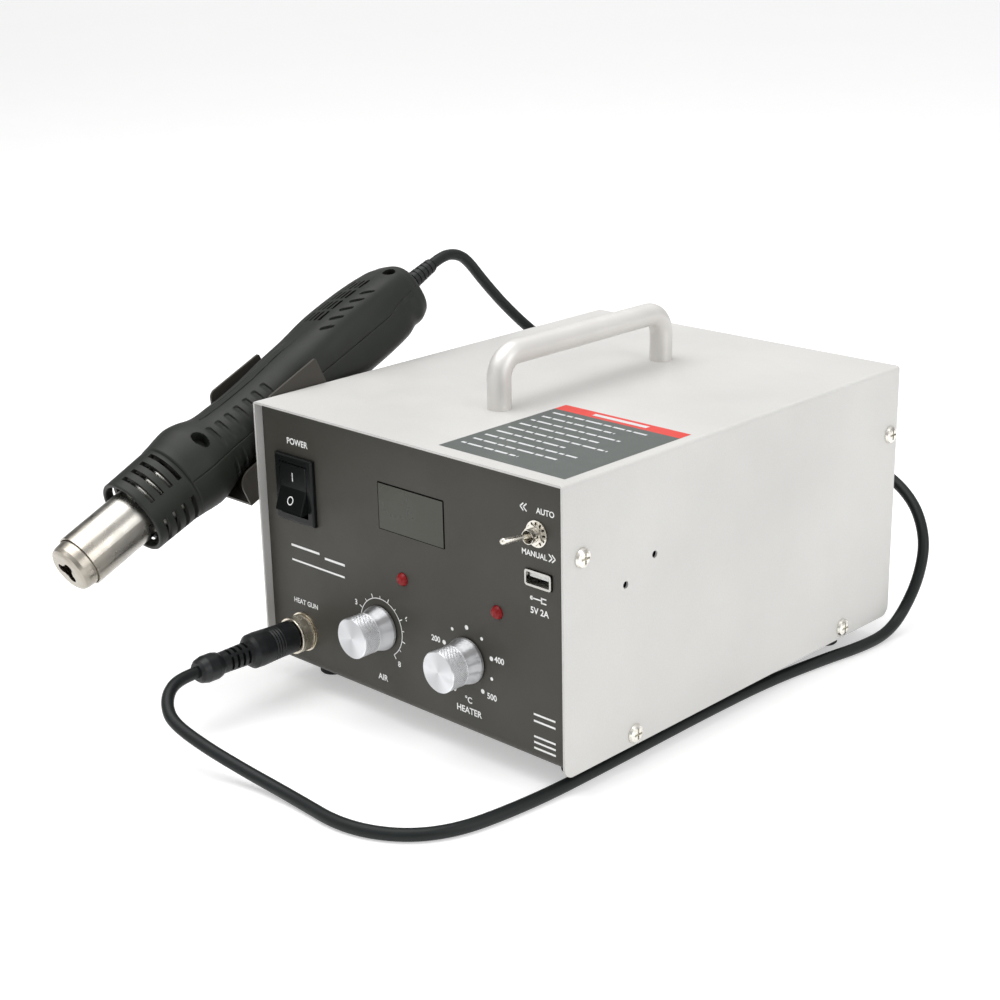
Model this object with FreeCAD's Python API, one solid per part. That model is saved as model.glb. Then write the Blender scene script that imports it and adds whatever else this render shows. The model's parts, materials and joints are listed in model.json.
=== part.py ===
import FreeCAD, Part
import math
import os

V = FreeCAD.Vector
X_AXIS, Y_AXIS, Z_AXIS = V(1, 0, 0), V(0, 1, 0), V(0, 0, 1)

# ---------------------------------------------------------------- frame
# Drawn in case coordinates, mm: x = 0 is the case's mid-plane, y = 0 the front
# edge of its cover, z = 0 the table. write() moves every part by FRAME_SHIFT, so
# that the origin lies on the table under the middle of the whole object's box.
FRAME_SHIFT = V(22.20, -71.37, 0)

# ---------------------------------------------------------------- case
CASE_W = 187.0            # width over the cover
CASE_D = 235.0            # depth of the cover
CASE_TOP = 135.0          # height of the cover's top above the table
FOOT_H = 10.0             # gap between table and cover
SHEET = 1.0               # steel sheet of cover and chassis
OVERHANG = 4.0            # cover stands this far in front of and behind the panels
PANEL_Y = OVERHANG        # front face of the front panel
REAR_Y = CASE_D - OVERHANG
SIDE_X = CASE_W / 2
INNER_X = SIDE_X - SHEET - 0.2
CHASSIS_Z = FOOT_H + 1.0  # underside of the chassis floor
CHASSIS_TOP = CASE_TOP - SHEET - 0.3
BEND_R = 4.0              # outer radius of the chassis bends
COVER_R = 1.6             # outer radius of the cover bends
CORNER_R = 5.0            # rounded lower corners of the cover's sides
FLANGE = 14.0             # chassis side flanges that take the cover screws
UPPER_SCREW_Z = 103.0
LOWER_SCREW_Z = 15.5
UPPER_SCREW_Y = (11.0, CASE_D - 6.0)
LOWER_SCREW_Y = (43.5, 195.5)
SCREW_R = 1.5             # M3 cover screws
SCREW_HEAD_R = 4.2
SCREW_HEAD_H = 2.1
FIT = 0.15                # clearance round screws and panel parts

# ---------------------------------------------------------------- front panel
ROCKER_X, ROCKER_Z = -70.5, 97.5
ROCKER_W, ROCKER_H = 25.5, 31.0
WINDOW_X, WINDOW_Z, WINDOW_W, WINDOW_H = 3.4, 102.0, 40.0, 21.0
LED_X, LED_Z, LED_R = (-3.0, 53.4), 71.3, 3.0
AIR_X, HEAT_X, KNOB_Z = -18.0, 35.5, 45.0
TOGGLE_X, TOGGLE_Z = 76.2, 110.8
USB_X, USB_Z, USB_W, USB_H = 77.0, 91.6, 13.1, 5.7
SOCKET_X, SOCKET_Z = -71.0, 28.4

# ---------------------------------------------------------------- cradle and gun
GUN_TILT = 23.8           # nozzle down
GUN_ROLL = -15.5          # how the gun lies turned in the cradle
GUN_X = -116.5            # gun axis, beside the case
GUN_N = 93.7              # gun axis above the cover's lower front edge, square to the tilt
PLATE_T = 1.2             # cradle sheet
TROUGH_HALF = 22.0        # half of the trough's inner width
FLOOR_N = GUN_N - 20.7    # top of the trough floor
TROUGH_S = (26.8, 90.0)   # trough's reach along the gun axis
CORD_D = 5.5

SIN_T, COS_T = math.sin(math.radians(GUN_TILT)), math.cos(math.radians(GUN_TILT))


# ---------------------------------------------------------------- helpers
def box(x0, x1, y0, y1, z0, z1):
    return Part.makeBox(x1 - x0, y1 - y0, z1 - z0, V(x0, y0, z0))


def rod(centre, axis, r, length):
    return Part.makeCylinder(r, length, centre, axis)


def pipe(centre, axis, r_out, r_in, length):
    return rod(centre, axis, r_out, length).cut(rod(centre, axis, r_in, length))


def turned(profile):
    """Solid of revolution about the Y axis from (radius, y) points."""
    points = [V(r, y, 0) for r, y in profile]
    face = Part.Face(Part.makePolygon(points + [points[0]]))
    return face.revolve(V(0, 0, 0), Y_AXIS, 360)


def moved(shape, x=0.0, y=0.0, z=0.0):
    copy = shape.copy()
    copy.translate(V(x, y, z))
    return copy


def spun(shape, angle, centre=V(0, 0, 0), axis=Y_AXIS):
    copy = shape.copy()
    copy.rotate(centre, axis, angle)
    return copy


def joined(shapes):
    shapes = list(shapes)
    if len(shapes) == 1:
        return shapes[0]
    return shapes[0].multiFuse(shapes[1:]).removeSplitter()


def minus(shape, cutters):
    return shape.cut(Part.makeCompound(list(cutters)))


def softened(shape, radius, along=None, keep=None):
    """Fillet the edges that run along an axis and pass the keep test."""
    edges = []
    for edge in shape.Edges:
        direction = edge.tangentAt(edge.FirstParameter)
        fits_axis = along is None or abs(direction.dot(along)) > 0.999
        if fits_axis and (keep is None or keep(edge.CenterOfMass)):
            edges.append(edge)
    return shape.makeFillet(radius, edges)


def round_rect(half_w, half_h, r, y):
    """Rounded rectangle wire in a plane of constant y, centred on the Y axis."""
    a, h = half_w - r, half_h - r
    q = r * math.sqrt(0.5)
    edges = []
    for sx, sz in ((1, 1), (-1, 1), (-1, -1), (1, -1)):
        flat_x = V(sx * half_w, y, sz * h)
        flat_z = V(sx * a, y, sz * half_h)
        mid = V(sx * (a + q), y, sz * (h + q))
        first, last = (flat_x, flat_z) if sx * sz > 0 else (flat_z, flat_x)
        if edges:
            edges.append(Part.LineSegment(edges[-1].EndPoint, first))
        edges.append(Part.Arc(first, mid, last))
    edges.append(Part.LineSegment(edges[-1].EndPoint, edges[0].StartPoint))
    return Part.Wire([edge.toShape() for edge in edges])


def lofted(sections):
    return Part.makeLoft([round_rect(*section) for section in sections], True, False)


def pan_screw(r=SCREW_R, head_r=SCREW_HEAD_R, head_h=SCREW_HEAD_H, length=8.0):
    """Cross-recess pan-head screw along +Y, with the seat of its head at y = 0."""
    crown = turned([(0, -head_h), (head_r * 0.55, -head_h), (head_r * 0.88, -head_h * 0.72),
                    (head_r, -head_h * 0.25), (head_r, 0), (r, 0), (r, length), (0, length)])
    slot_w, slot_l, depth = head_r * 0.22, head_r * 1.15, head_h * 0.6
    cuts = [box(-slot_l / 2, slot_l / 2, -head_h - 1, -head_h + depth, -slot_w / 2, slot_w / 2),
            box(-slot_w / 2, slot_w / 2, -head_h - 1, -head_h + depth, -slot_l / 2, slot_l / 2)]
    return minus(crown, cuts)


def hex_nut(across, bore_r, height):
    """Hexagon nut about the Y axis, from y = 0 to its height."""
    r = across / math.sqrt(3)
    corners = [V(r * math.cos(math.radians(a)), 0, r * math.sin(math.radians(a)))
               for a in range(0, 360, 60)]
    prism = Part.Face(Part.makePolygon(corners + [corners[0]])).extrude(V(0, height, 0))
    return prism.cut(rod(V(0, -1, 0), Y_AXIS, bore_r, height + 2))


def write(name, shape):
    """Move the part into the object's frame and write its STEP file."""
    solids = shape.Solids
    body = solids[0] if len(solids) == 1 else Part.makeCompound(solids)
    moved(body, FRAME_SHIFT.x, FRAME_SHIFT.y, FRAME_SHIFT.z).exportStep("parts/" + name + ".step")


os.makedirs("parts", exist_ok=True)


# ---------------------------------------------------------------- cover and chassis
def side_screw(side, y, z, seat=SIDE_X):
    """Cover screw on the left (-1) or right (+1) side."""
    screw = spun(pan_screw(), 90 if side > 0 else -90, axis=Z_AXIS)
    return moved(screw, side * seat, y, z)


def side_holes(radius, reach):
    """Cutters for the four cover screws of each side."""
    spots = [(y, UPPER_SCREW_Z) for y in UPPER_SCREW_Y] + [(y, LOWER_SCREW_Z) for y in LOWER_SCREW_Y]
    return [rod(V(-SIDE_X - reach, y, z), X_AXIS, radius, CASE_W + 2 * reach) for y, z in spots]


BRACKET_SCREW_S = (64.1, 84.1)    # along the gun axis
BRACKET_SCREW_N = 52.3            # square to it, below the trough floor


def tilted(s, n):
    """Case y, z of a point given along (s) and square to (n) the tilted gun axis."""
    return s * COS_T - n * SIN_T, FOOT_H + s * SIN_T + n * COS_T


def bracket_spots():
    return [tilted(s, BRACKET_SCREW_N) for s in BRACKET_SCREW_S]


HANDLE_LEGS_Y = (62.5, 173.5)
HANDLE_R = 5.4
HANDLE_TOP = 164.0


def make_top_cover():
    outer = box(-SIDE_X, SIDE_X, 0, CASE_D, FOOT_H, CASE_TOP)
    outer = softened(outer, COVER_R, Y_AXIS, lambda c: c.z > CASE_TOP - 1)
    outer = softened(outer, CORNER_R, X_AXIS, lambda c: c.z < FOOT_H + 1)
    inner = box(-SIDE_X + SHEET, SIDE_X - SHEET, -1, CASE_D + 1, FOOT_H - 1, CASE_TOP - SHEET)
    cover = outer.cut(inner)
    cuts = side_holes(SCREW_R + FIT, 1)
    cuts += [rod(V(-SIDE_X - 1, y, z), X_AXIS, SCREW_R + 0.1, CASE_W + 2) for y, z in bracket_spots()]
    cuts += [rod(V(0, y, CASE_TOP - 3), Z_AXIS, 2.15, 6) for y in HANDLE_LEGS_Y]
    return minus(cover, cuts)


INLET_X, INLET_Z, INLET_W, INLET_H = -56.0, 44.0, 27.4, 20.0
INLET_SCREW_DX = 20.0
INLET_PINS = ((-7.0, -2.0), (7.0, -2.0), (0.0, 2.0))
FEET = ((-77.0, 25.0), (77.0, 25.0), (-77.0, 206.0), (77.0, 206.0))
BOARD_STANDOFFS = ((-64.0, 95.0), (30.0, 95.0), (-64.0, 185.0), (30.0, 185.0))
TRANSFORMER_X, TRANSFORMER_Y = 64.0, 165.0


def vent_row(x0, x1, step, make):
    count = int(round((x1 - x0) / step)) + 1
    return [make(x0 + i * step) for i in range(count)]


def make_base_chassis():
    outer = box(-INNER_X, INNER_X, PANEL_Y, REAR_Y, CHASSIS_Z, CHASSIS_TOP)
    outer = softened(outer, BEND_R, X_AXIS, lambda c: c.z < CHASSIS_Z + 1)
    inner = box(-INNER_X - 1, INNER_X + 1, PANEL_Y + SHEET, REAR_Y - SHEET,
                CHASSIS_Z + SHEET, CHASSIS_TOP + 1)
    inner = softened(inner, BEND_R - SHEET, X_AXIS, lambda c: c.z < CHASSIS_Z + SHEET + 0.5)
    sheet = [outer.cut(inner)]
    for side in (-1, 1):
        x0, x1 = sorted((side * INNER_X, side * (INNER_X - SHEET)))
        sheet.append(box(x0, x1, PANEL_Y + 10, REAR_Y - 10, CHASSIS_Z, CHASSIS_Z + FLANGE))
        for y0, y1 in ((PANEL_Y, PANEL_Y + FLANGE), (REAR_Y - FLANGE, REAR_Y)):
            sheet.append(box(x0, x1, y0, y1, CHASSIS_Z + 30, CHASSIS_TOP - 6))
    cuts = side_holes(SCREW_R, 1)
    cuts += front_cutouts()
    cuts += rear_cutouts()
    cuts += [rod(V(x, y, CHASSIS_Z - 1), Z_AXIS, 2.1, 4) for x, y in FEET]
    cuts += [rod(V(x, y, CHASSIS_Z - 1), Z_AXIS, 1.3, 4) for x, y in BOARD_STANDOFFS]
    for y in (60.0, 140.0):
        cuts += vent_row(-36, 36, 9, lambda x: box(x - 1.5, x + 1.5, y - 14, y + 14,
                                                   CHASSIS_Z - 1, CHASSIS_Z + 3))
    return minus(joined(sheet), cuts)


def front_cutouts():
    def hole(x, z, r):
        return rod(V(x, PANEL_Y - 1, z), Y_AXIS, r, 4)

    def window(x, z, w, h):
        return box(x - w / 2, x + w / 2, PANEL_Y - 1, PANEL_Y + 3, z - h / 2, z + h / 2)

    holes = [window(ROCKER_X, ROCKER_Z, 22.4, 27.8), window(WINDOW_X, WINDOW_Z, WINDOW_W, WINDOW_H),
             window(USB_X, USB_Z, USB_W + 1.4, USB_H + 1.4), hole(TOGGLE_X, TOGGLE_Z, 3.1),
             hole(SOCKET_X, SOCKET_Z, 7.6), hole(AIR_X, KNOB_Z, 3.6), hole(HEAT_X, KNOB_Z, 3.6)]
    return holes + [hole(x, LED_Z, LED_R + 0.1) for x in LED_X]


def rear_cutouts():
    y0, y1 = REAR_Y - 3, REAR_Y + 1
    cuts = [box(INLET_X - INLET_W / 2, INLET_X + INLET_W / 2, y0, y1,
                INLET_Z - INLET_H / 2, INLET_Z + INLET_H / 2)]
    cuts += [rod(V(INLET_X + dx, y0, INLET_Z), Y_AXIS, 1.3, 4) for dx in (-INLET_SCREW_DX, INLET_SCREW_DX)]
    for z in (88.0, 106.0):
        cuts += vent_row(-30, 72, 8.5, lambda x: box(x - 1.5, x + 1.5, y0, y1, z - 7, z + 7))
    return cuts


def make_case_screws():
    screws = []
    for side in (-1, 1):
        for y in UPPER_SCREW_Y:
            over_cradle = side < 0 and y == UPPER_SCREW_Y[0]
            screws.append(side_screw(side, y, UPPER_SCREW_Z, SIDE_X + (PLATE_T if over_cradle else 0)))
        screws += [side_screw(side, y, LOWER_SCREW_Z) for y in LOWER_SCREW_Y]
    return Part.makeCompound(screws)


def make_feet():
    foot = turned([(2.1, -FOOT_H - 1), (2.1, -4.4), (4.4, -4.4), (4.4, 0), (5.6, 0),
                   (6.2, -0.6), (6.6, -FOOT_H - 1)])
    foot = spun(foot, -90, axis=X_AXIS)
    return Part.makeCompound([moved(foot, x, y, 0) for x, y in FEET])


def make_foot_screws():
    screw = spun(pan_screw(1.9, 3.9, 2.4, 9.4), 90, axis=X_AXIS)
    return Part.makeCompound([moved(screw, x, y, 4.4) for x, y in FEET])


def make_carry_handle():
    y0, y1 = HANDLE_LEGS_Y
    z_bar = HANDLE_TOP - HANDLE_R
    bend = 10.5
    q = bend * (1 - math.sqrt(0.5))
    base, lift = CASE_TOP, z_bar - bend
    path = [Part.LineSegment(V(0, y0, base), V(0, y0, lift)),
            Part.Arc(V(0, y0, lift), V(0, y0 + q, z_bar - q), V(0, y0 + bend, z_bar)),
            Part.LineSegment(V(0, y0 + bend, z_bar), V(0, y1 - bend, z_bar)),
            Part.Arc(V(0, y1 - bend, z_bar), V(0, y1 - q, z_bar - q), V(0, y1, lift)),
            Part.LineSegment(V(0, y1, lift), V(0, y1, base))]
    wire = Part.Wire([edge.toShape() for edge in path])
    ring = Part.Wire([Part.makeCircle(HANDLE_R, V(0, y0, base), Z_AXIS)])
    bow = wire.makePipeShell([ring], True, False)
    return minus(bow, [rod(V(0, y, CASE_TOP - 1), Z_AXIS, 1.9, 13) for y in HANDLE_LEGS_Y])


def make_handle_screws():
    screw = spun(pan_screw(1.9, 3.9, 2.4, 11.0), 90, axis=X_AXIS)
    return Part.makeCompound([moved(screw, 0, y, CASE_TOP - SHEET) for y in HANDLE_LEGS_Y])


# ---------------------------------------------------------------- power switch
ROCKER_TILT = 10.0        # each way from level
ROCKER_PIVOT_Y = PANEL_Y + 2.0


def make_rocker_housing():
    bezel = box(-ROCKER_W / 2, ROCKER_W / 2, PANEL_Y - 2.2, PANEL_Y, -ROCKER_H / 2, ROCKER_H / 2)
    bezel = softened(bezel, 1.0, keep=lambda c: c.y < PANEL_Y - 2.1)
    can = box(-11.0, 11.0, PANEL_Y, PANEL_Y + 17, -13.7, 13.7)
    well = box(-9.2, 9.2, PANEL_Y - 4, PANEL_Y + 11, -12.2, 12.2)
    pin = rod(V(-9.5, ROCKER_PIVOT_Y, 0), X_AXIS, 1.2, 19)
    blades = [box(x - 0.4, x + 0.4, PANEL_Y + 16, PANEL_Y + 25, z - 2.4, z + 2.4)
              for x in (-5.5, 5.5) for z in (-8, 0)]
    housing = joined([bezel, can]).cut(well)
    return moved(joined([housing, pin] + blades), ROCKER_X, 0, ROCKER_Z)


def make_rocker():
    """Paddle with two flats that meet in a shallow ridge, tilted to its on end."""
    w, half, face = 8.9, 10.9, PANEL_Y - 2.6
    outline = [V(0, face, 0), V(0, face - 1.9, half), V(0, face + 0.7, half + 0.1),
               V(0, ROCKER_PIVOT_Y + 3.6, 4.5), V(0, ROCKER_PIVOT_Y + 3.6, -4.5),
               V(0, face + 0.7, -half - 0.1), V(0, face - 1.9, -half)]
    paddle = Part.Face(Part.makePolygon(outline + [outline[0]])).extrude(V(2 * w, 0, 0))
    paddle = moved(paddle, -w)
    paddle = softened(paddle, 0.5, keep=lambda c: abs(c.x) > w - 0.01 and c.y < face)
    paddle = paddle.cut(rod(V(-w - 1, ROCKER_PIVOT_Y, 0), X_AXIS, 1.25, 2 * w + 2))
    paddle = spun(paddle, -ROCKER_TILT, V(0, ROCKER_PIVOT_Y, 0), X_AXIS)
    return moved(paddle, ROCKER_X, 0, ROCKER_Z)


# ---------------------------------------------------------------- mode toggle
TOGGLE_TILT = 16.0        # lever, each way
TOGGLE_PIVOT_Y = PANEL_Y - 1.0


def make_toggle_body():
    can = box(-6.5, 6.5, PANEL_Y + 1.7, PANEL_Y + 12, -4.0, 4.0)
    can = can.cut(box(-5.0, 5.0, PANEL_Y + 4.5, PANEL_Y + 11, -2.6, 2.6))
    can = can.cut(rod(V(0, PANEL_Y, 0), Y_AXIS, 2.0, 6))
    blades = [box(x - 0.3, x + 0.3, PANEL_Y + 11, PANEL_Y + 16, -1.2, 1.2) for x in (-4.7, 0, 4.7)]
    return moved(joined([can] + blades), TOGGLE_X, 0, TOGGLE_Z)


def make_toggle_bushing():
    barrel = pipe(V(0, PANEL_Y - 5.6, 0), Y_AXIS, 3.0, 2.0, 7.3)
    mouth = Part.makeCone(2.75, 2.0, 3.0, V(0, PANEL_Y - 5.6, 0), Y_AXIS)
    keyway = box(2.6, 3.4, PANEL_Y - 6, PANEL_Y + 1, -0.5, 0.5)
    return moved(minus(barrel, [mouth, keyway]), TOGGLE_X, 0, TOGGLE_Z)


def make_toggle_washer():
    washer = pipe(V(0, PANEL_Y - 0.6, 0), Y_AXIS, 5.6, 3.05, 0.6)
    gap = box(2.8, 5.0, PANEL_Y - 1, PANEL_Y + 1, -0.45, 0.45)
    washer = minus(washer, [spun(gap, a) for a in range(0, 360, 30)])
    return moved(washer, TOGGLE_X, 0, TOGGLE_Z)


def make_toggle_nut():
    nut = hex_nut(8.0, 3.05, 2.0)
    return moved(spun(nut, 18), TOGGLE_X, PANEL_Y - 2.6, TOGGLE_Z)


def make_toggle_lever():
    lever = turned([(0, -15.8), (0.8, -15.7), (1.3, -15.2), (1.45, -14.4), (1.4, -12.7),
                    (1.1, -8.0), (0.95, -5.0), (0.95, -1.7), (1.6, -1.0), (1.9, 0), (1.6, 1.0),
                    (0.6, 1.8), (0.6, 3.6), (0, 3.6)])
    lever = spun(lever, -TOGGLE_TILT, axis=Z_AXIS)
    return moved(lever, TOGGLE_X, TOGGLE_PIVOT_Y, TOGGLE_Z)


# ---------------------------------------------------------------- display, lamps, USB
def make_display_window():
    plate = box(-WINDOW_W / 2 + 0.1, WINDOW_W / 2 - 0.1, PANEL_Y, PANEL_Y + 1.6,
                -WINDOW_H / 2 + 0.1, WINDOW_H / 2 - 0.1)
    return moved(plate, WINDOW_X, 0, WINDOW_Z)


def make_display_module():
    block = box(-18.8, 18.8, PANEL_Y + 1.8, PANEL_Y + 8.8, -7.0, 7.0)
    return moved(block, WINDOW_X, 0, WINDOW_Z)


def make_panel_board():
    """Board behind the panel that carries display, lamps and potentiometers."""
    board = box(-26, 62, PANEL_Y + 8.8, PANEL_Y + 10.4, 34, 116)
    holes = [rod(V(x, PANEL_Y + 8, KNOB_Z), Y_AXIS, 8.8, 4) for x in (AIR_X, HEAT_X)]
    return minus(board, holes)


def make_led_lamps():
    lamp = turned([(0, -2.4), (1.4, -2.2), (2.4, -1.4), (LED_R - 0.1, -0.4), (LED_R, 0.4),
                   (LED_R, 4.2), (LED_R + 0.4, 4.2), (LED_R + 0.4, 5.2), (0.5, 5.2), (0.5, 8.7),
                   (0, 8.7)])
    return Part.makeCompound([moved(lamp, x, PANEL_Y, LED_Z) for x in LED_X])


def make_usb_shell():
    w, h, t = USB_W / 2, USB_H / 2, 0.35
    can = softened(box(-w, w, PANEL_Y - 0.8, PANEL_Y + 13, -h, h), 0.8, Y_AXIS)
    lip = box(-w - 0.6, w + 0.6, PANEL_Y - 1.0, PANEL_Y - 0.6, -h - 0.6, h + 0.6)
    mouth = box(-w + t, w - t, PANEL_Y - 2, PANEL_Y + 12.5, -h + t, h - t)
    shell = joined([can, softened(lip, 1.3, Y_AXIS)]).cut(softened(mouth, 0.5, Y_AXIS))
    return moved(shell, USB_X, 0, USB_Z)


def make_usb_tongue():
    tongue = box(-5.6, 5.6, PANEL_Y + 0.6, PANEL_Y + 12.5, 0.1, 1.9)
    contacts = [box(x - 0.5, x + 0.5, PANEL_Y + 1.4, PANEL_Y + 9.5, -0.05, 0.1)
                for x in (-3.5, -1.0, 1.0, 3.5)]
    return moved(joined([tongue] + contacts), USB_X, 0, USB_Z)


def make_usb_board():
    return moved(box(-9, 9, PANEL_Y + 3, PANEL_Y + 30, -4.6, -3.0), USB_X, 0, USB_Z)


# ---------------------------------------------------------------- knobs
KNOB_GAP = 0.6
KNOB_L = 17.0
SKIRT_R, BODY_R = 10.2, 9.2
POT_SHAFT_R = 3.0


def make_knob(x):
    """Flared skirt, waist and knurled grip, bored for its shaft."""
    y_back, y_front = PANEL_Y - KNOB_GAP, PANEL_Y - KNOB_GAP - KNOB_L
    knob = turned([(POT_SHAFT_R + 0.05, y_back), (SKIRT_R - 0.3, y_back), (SKIRT_R, y_back - 0.4),
                   (SKIRT_R, y_back - 1.6), (SKIRT_R - 1.8, y_back - 4.6), (BODY_R - 0.8, y_back - 5.2),
                   (BODY_R - 0.8, y_back - 5.7), (BODY_R, y_back - 6.1), (BODY_R, y_front + 0.4),
                   (BODY_R - 0.4, y_front), (0, y_front), (0, y_front + 5.0),
                   (POT_SHAFT_R + 0.05, y_front + 5.0)])
    nut_recess = rod(V(0, y_back - 2.6, 0), Y_AXIS, 7.6, 3.6)
    bushing_recess = rod(V(0, y_back - 4.6, 0), Y_AXIS, 3.9, 5.6)
    return moved(minus(knob, [nut_recess, bushing_recess]), x, 0, KNOB_Z)


def make_knob_shaft(x):
    shaft = turned([(0, -12.3), (POT_SHAFT_R - 0.4, -12.3), (POT_SHAFT_R, -11.9), (POT_SHAFT_R, 3.0),
                    (1.8, 3.0), (1.8, 7.0), (5.5, 7.0), (5.5, 8.0), (0, 8.0)])
    return moved(shaft, x, PANEL_Y, KNOB_Z)


def make_potentiometers():
    can = turned([(POT_SHAFT_R + 0.05, -4.5), (3.5, -4.5), (3.5, 3.0), (8.5, 3.0), (8.5, 10.5),
                  (0, 10.5), (0, 9.0), (6.2, 9.0), (6.2, 5.0), (POT_SHAFT_R + 0.05, 5.0)])
    lugs = [box(dx - 0.6, dx + 0.6, 10.4, 10.9, 6.0, 13.0) for dx in (-5, 0, 5)]
    pot = joined([can] + lugs)
    return Part.makeCompound([moved(pot, x, PANEL_Y, KNOB_Z) for x in (AIR_X, HEAT_X)])


def make_pot_nuts():
    nut = hex_nut(10.0, 3.55, 2.0)
    washer = pipe(V(0, 2.0, 0), Y_AXIS, 6.0, 3.55, 0.5)
    pair = joined([nut, washer])
    return Part.makeCompound([moved(pair, x, PANEL_Y - 2.5, KNOB_Z) for x in (AIR_X, HEAT_X)])


# ---------------------------------------------------------------- gun socket and plug
RING_R, RING_L = 8.6, 7.0
PLUG_END_Y = -58.0        # where the gun cord enters the plug's boot


def make_gun_socket():
    """Panel socket: flange, threaded barrel, insert with five pins."""
    shell = turned([(7.7, -0.9), (9.15, -0.9), (9.15, 0), (7.5, 0), (7.5, 9), (0, 9), (0, 6.5),
                    (6.4, 6.5), (6.4, -4.2), (7.4, -4.2), (7.4, -0.9)])
    pins = [spun(rod(V(3.4, -2.0, 0), Y_AXIS, 0.75, 14), a) for a in range(0, 360, 72)]
    return moved(joined([shell] + pins), SOCKET_X, PANEL_Y, SOCKET_Z)


def make_socket_nut():
    return moved(hex_nut(19.0, 7.55, 2.5), SOCKET_X, PANEL_Y + SHEET, SOCKET_Z)


def make_coupling_ring():
    back, front = -1.2, -1.2 - RING_L
    ring = turned([(7.5, front), (RING_R - 0.2, front), (RING_R, front + 0.3), (RING_R, front + 1.2),
                   (RING_R - 0.3, front + 1.5), (RING_R - 0.3, back - 1.2), (RING_R, back - 0.9),
                   (RING_R, back), (7.5, back)])
    notch = box(-1.1, 1.1, front - 1, front + 1.2, 7.0, 10.0)
    return moved(ring.cut(notch), SOCKET_X, PANEL_Y, SOCKET_Z)


def make_gun_plug():
    """Moulded plug: body behind the ring, grooves, slotted relief and end bulge."""
    body = turned([(0, 5.3), (6.2, 5.3), (6.2, -8.5), (7.3, -8.5), (7.6, -9.2), (7.6, -17.0),
                   (7.35, -17.4), (7.35, -18.1), (7.7, -18.5), (7.4, -19.2), (7.75, -20.0),
                   (7.45, -20.7), (7.8, -21.5), (7.5, -22.2), (7.9, -23.0), (8.1, -28.0),
                   (7.9, -31.6), (6.6, -33.2), (5.3, -33.8), (4.9, -49.4), (5.7, -50.6),
                   (6.2, -52.6), (6.2, -57.6), (5.4, -60.6), (4.2, PLUG_END_Y - PANEL_Y),
                   (0, PLUG_END_Y - PANEL_Y)])
    cuts = [spun(rod(V(3.4, -2.6, 0), Y_AXIS, 0.8, 10), a) for a in range(0, 360, 72)]
    for turn in (0, 90, 180, 270):
        for i in range(4):
            y = -36.0 - 3.1 * i
            cuts.append(spun(box(3.3, 7, y - 0.65, y + 0.65, -3.1, 3.1), turn))
    return moved(minus(body, cuts), SOCKET_X, PANEL_Y, SOCKET_Z)


# ---------------------------------------------------------------- cradle
def cradle_point(x, s, n):
    y, z = tilted(s, n)
    return V(x, y, z)


def plate(outline, x0, thickness):
    """Flat sheet square to X with an (s, n) outline; a third value rounds that corner."""
    edges, n = [], len(outline)
    ends = []
    for i in range(n):
        prev, here, nxt = outline[i - 1], outline[i], outline[(i + 1) % n]
        p, a, b = (V(0, q[0], q[1]) for q in (here, prev, nxt))
        r = here[2] if len(here) > 2 else 0
        if not r:
            ends.append((p, None, p))
            continue
        u, w = (a - p).normalize(), (b - p).normalize()
        half = math.acos(max(-1, min(1, u.dot(w)))) / 2
        start, stop = p + u * (r / math.tan(half)), p + w * (r / math.tan(half))
        mid = p + (u + w).normalize() * (r / math.sin(half) - r)
        ends.append((start, mid, stop))
    for i in range(n):
        start, mid, stop = ends[i]
        if mid is not None:
            edges.append(Part.Arc(start, mid, stop).toShape())
        following = ends[(i + 1) % n][0]
        if (following - stop).Length > 1e-6:
            edges.append(Part.LineSegment(stop, following).toShape())
    solid = Part.Face(Part.Wire(edges)).extrude(V(thickness, 0, 0))
    return moved(solid, x0)


def in_cradle(shape):
    """Turn a shape drawn in (x, s, n) into the tilted cradle frame."""
    return moved(spun(shape, GUN_TILT, axis=X_AXIS), 0, 0, FOOT_H)


WALL_X0 = -SIDE_X - PLATE_T                     # trough side of the inner wall
OUTER_WALL_X0 = GUN_X - TROUGH_HALF - PLATE_T   # outside of the outer wall
INNER_WALL_N = 110.3
OUTER_WALL_N = 104.0
TAB_N = 44.0                                    # lower edge of the screwed tab
MAGNET_H = 2.4


def wall_outline(top_n, bottom_n):
    """High rear part, low front lip with a swept corner."""
    s0, s1 = TROUGH_S
    return [(s0, bottom_n), (s0, FLOOR_N + 14.2, 7.0), (s0 + 25, FLOOR_N + 14.8, 6.0),
            (s0 + 30.5, top_n, 4.0), (s1, top_n, 1.0), (s1 + 1.0, bottom_n)]


def make_holder_bracket():
    s0, s1 = TROUGH_S
    bottom = FLOOR_N - PLATE_T
    inner = plate(wall_outline(INNER_WALL_N, bottom), WALL_X0, PLATE_T)
    outer = plate(wall_outline(OUTER_WALL_N, bottom), OUTER_WALL_X0, PLATE_T)
    tab = plate([(56.0, FLOOR_N), (56.0, TAB_N, 4.0), (s1 + 2.0, TAB_N, 4.0), (s1, FLOOR_N)],
                WALL_X0, PLATE_T)
    floor = box(OUTER_WALL_X0, WALL_X0 + PLATE_T, s0, s1, bottom, FLOOR_N)
    relief = box(WALL_X0 - 1.5, WALL_X0, 56.0, s1 + 1, bottom - 1, FLOOR_N + 1)
    sheet = joined([inner, outer, tab, floor.cut(relief)])
    sheet = softened(sheet, 2.4, Y_AXIS, lambda c: c.x < OUTER_WALL_X0 + 0.1 and c.z < bottom + 0.1)
    holes = [rod(V(-SIDE_X - 3, s, BRACKET_SCREW_N), X_AXIS, SCREW_R + FIT, 6) for s in BRACKET_SCREW_S]
    front_screw = rod(V(-SIDE_X - 3, UPPER_SCREW_Y[0], UPPER_SCREW_Z), X_AXIS, SCREW_R + FIT, 6)
    return in_cradle(minus(sheet, holes)).cut(front_screw)


def make_bracket_screws():
    return Part.makeCompound([side_screw(-1, y, z, SIDE_X + PLATE_T) for y, z in bracket_spots()])


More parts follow.
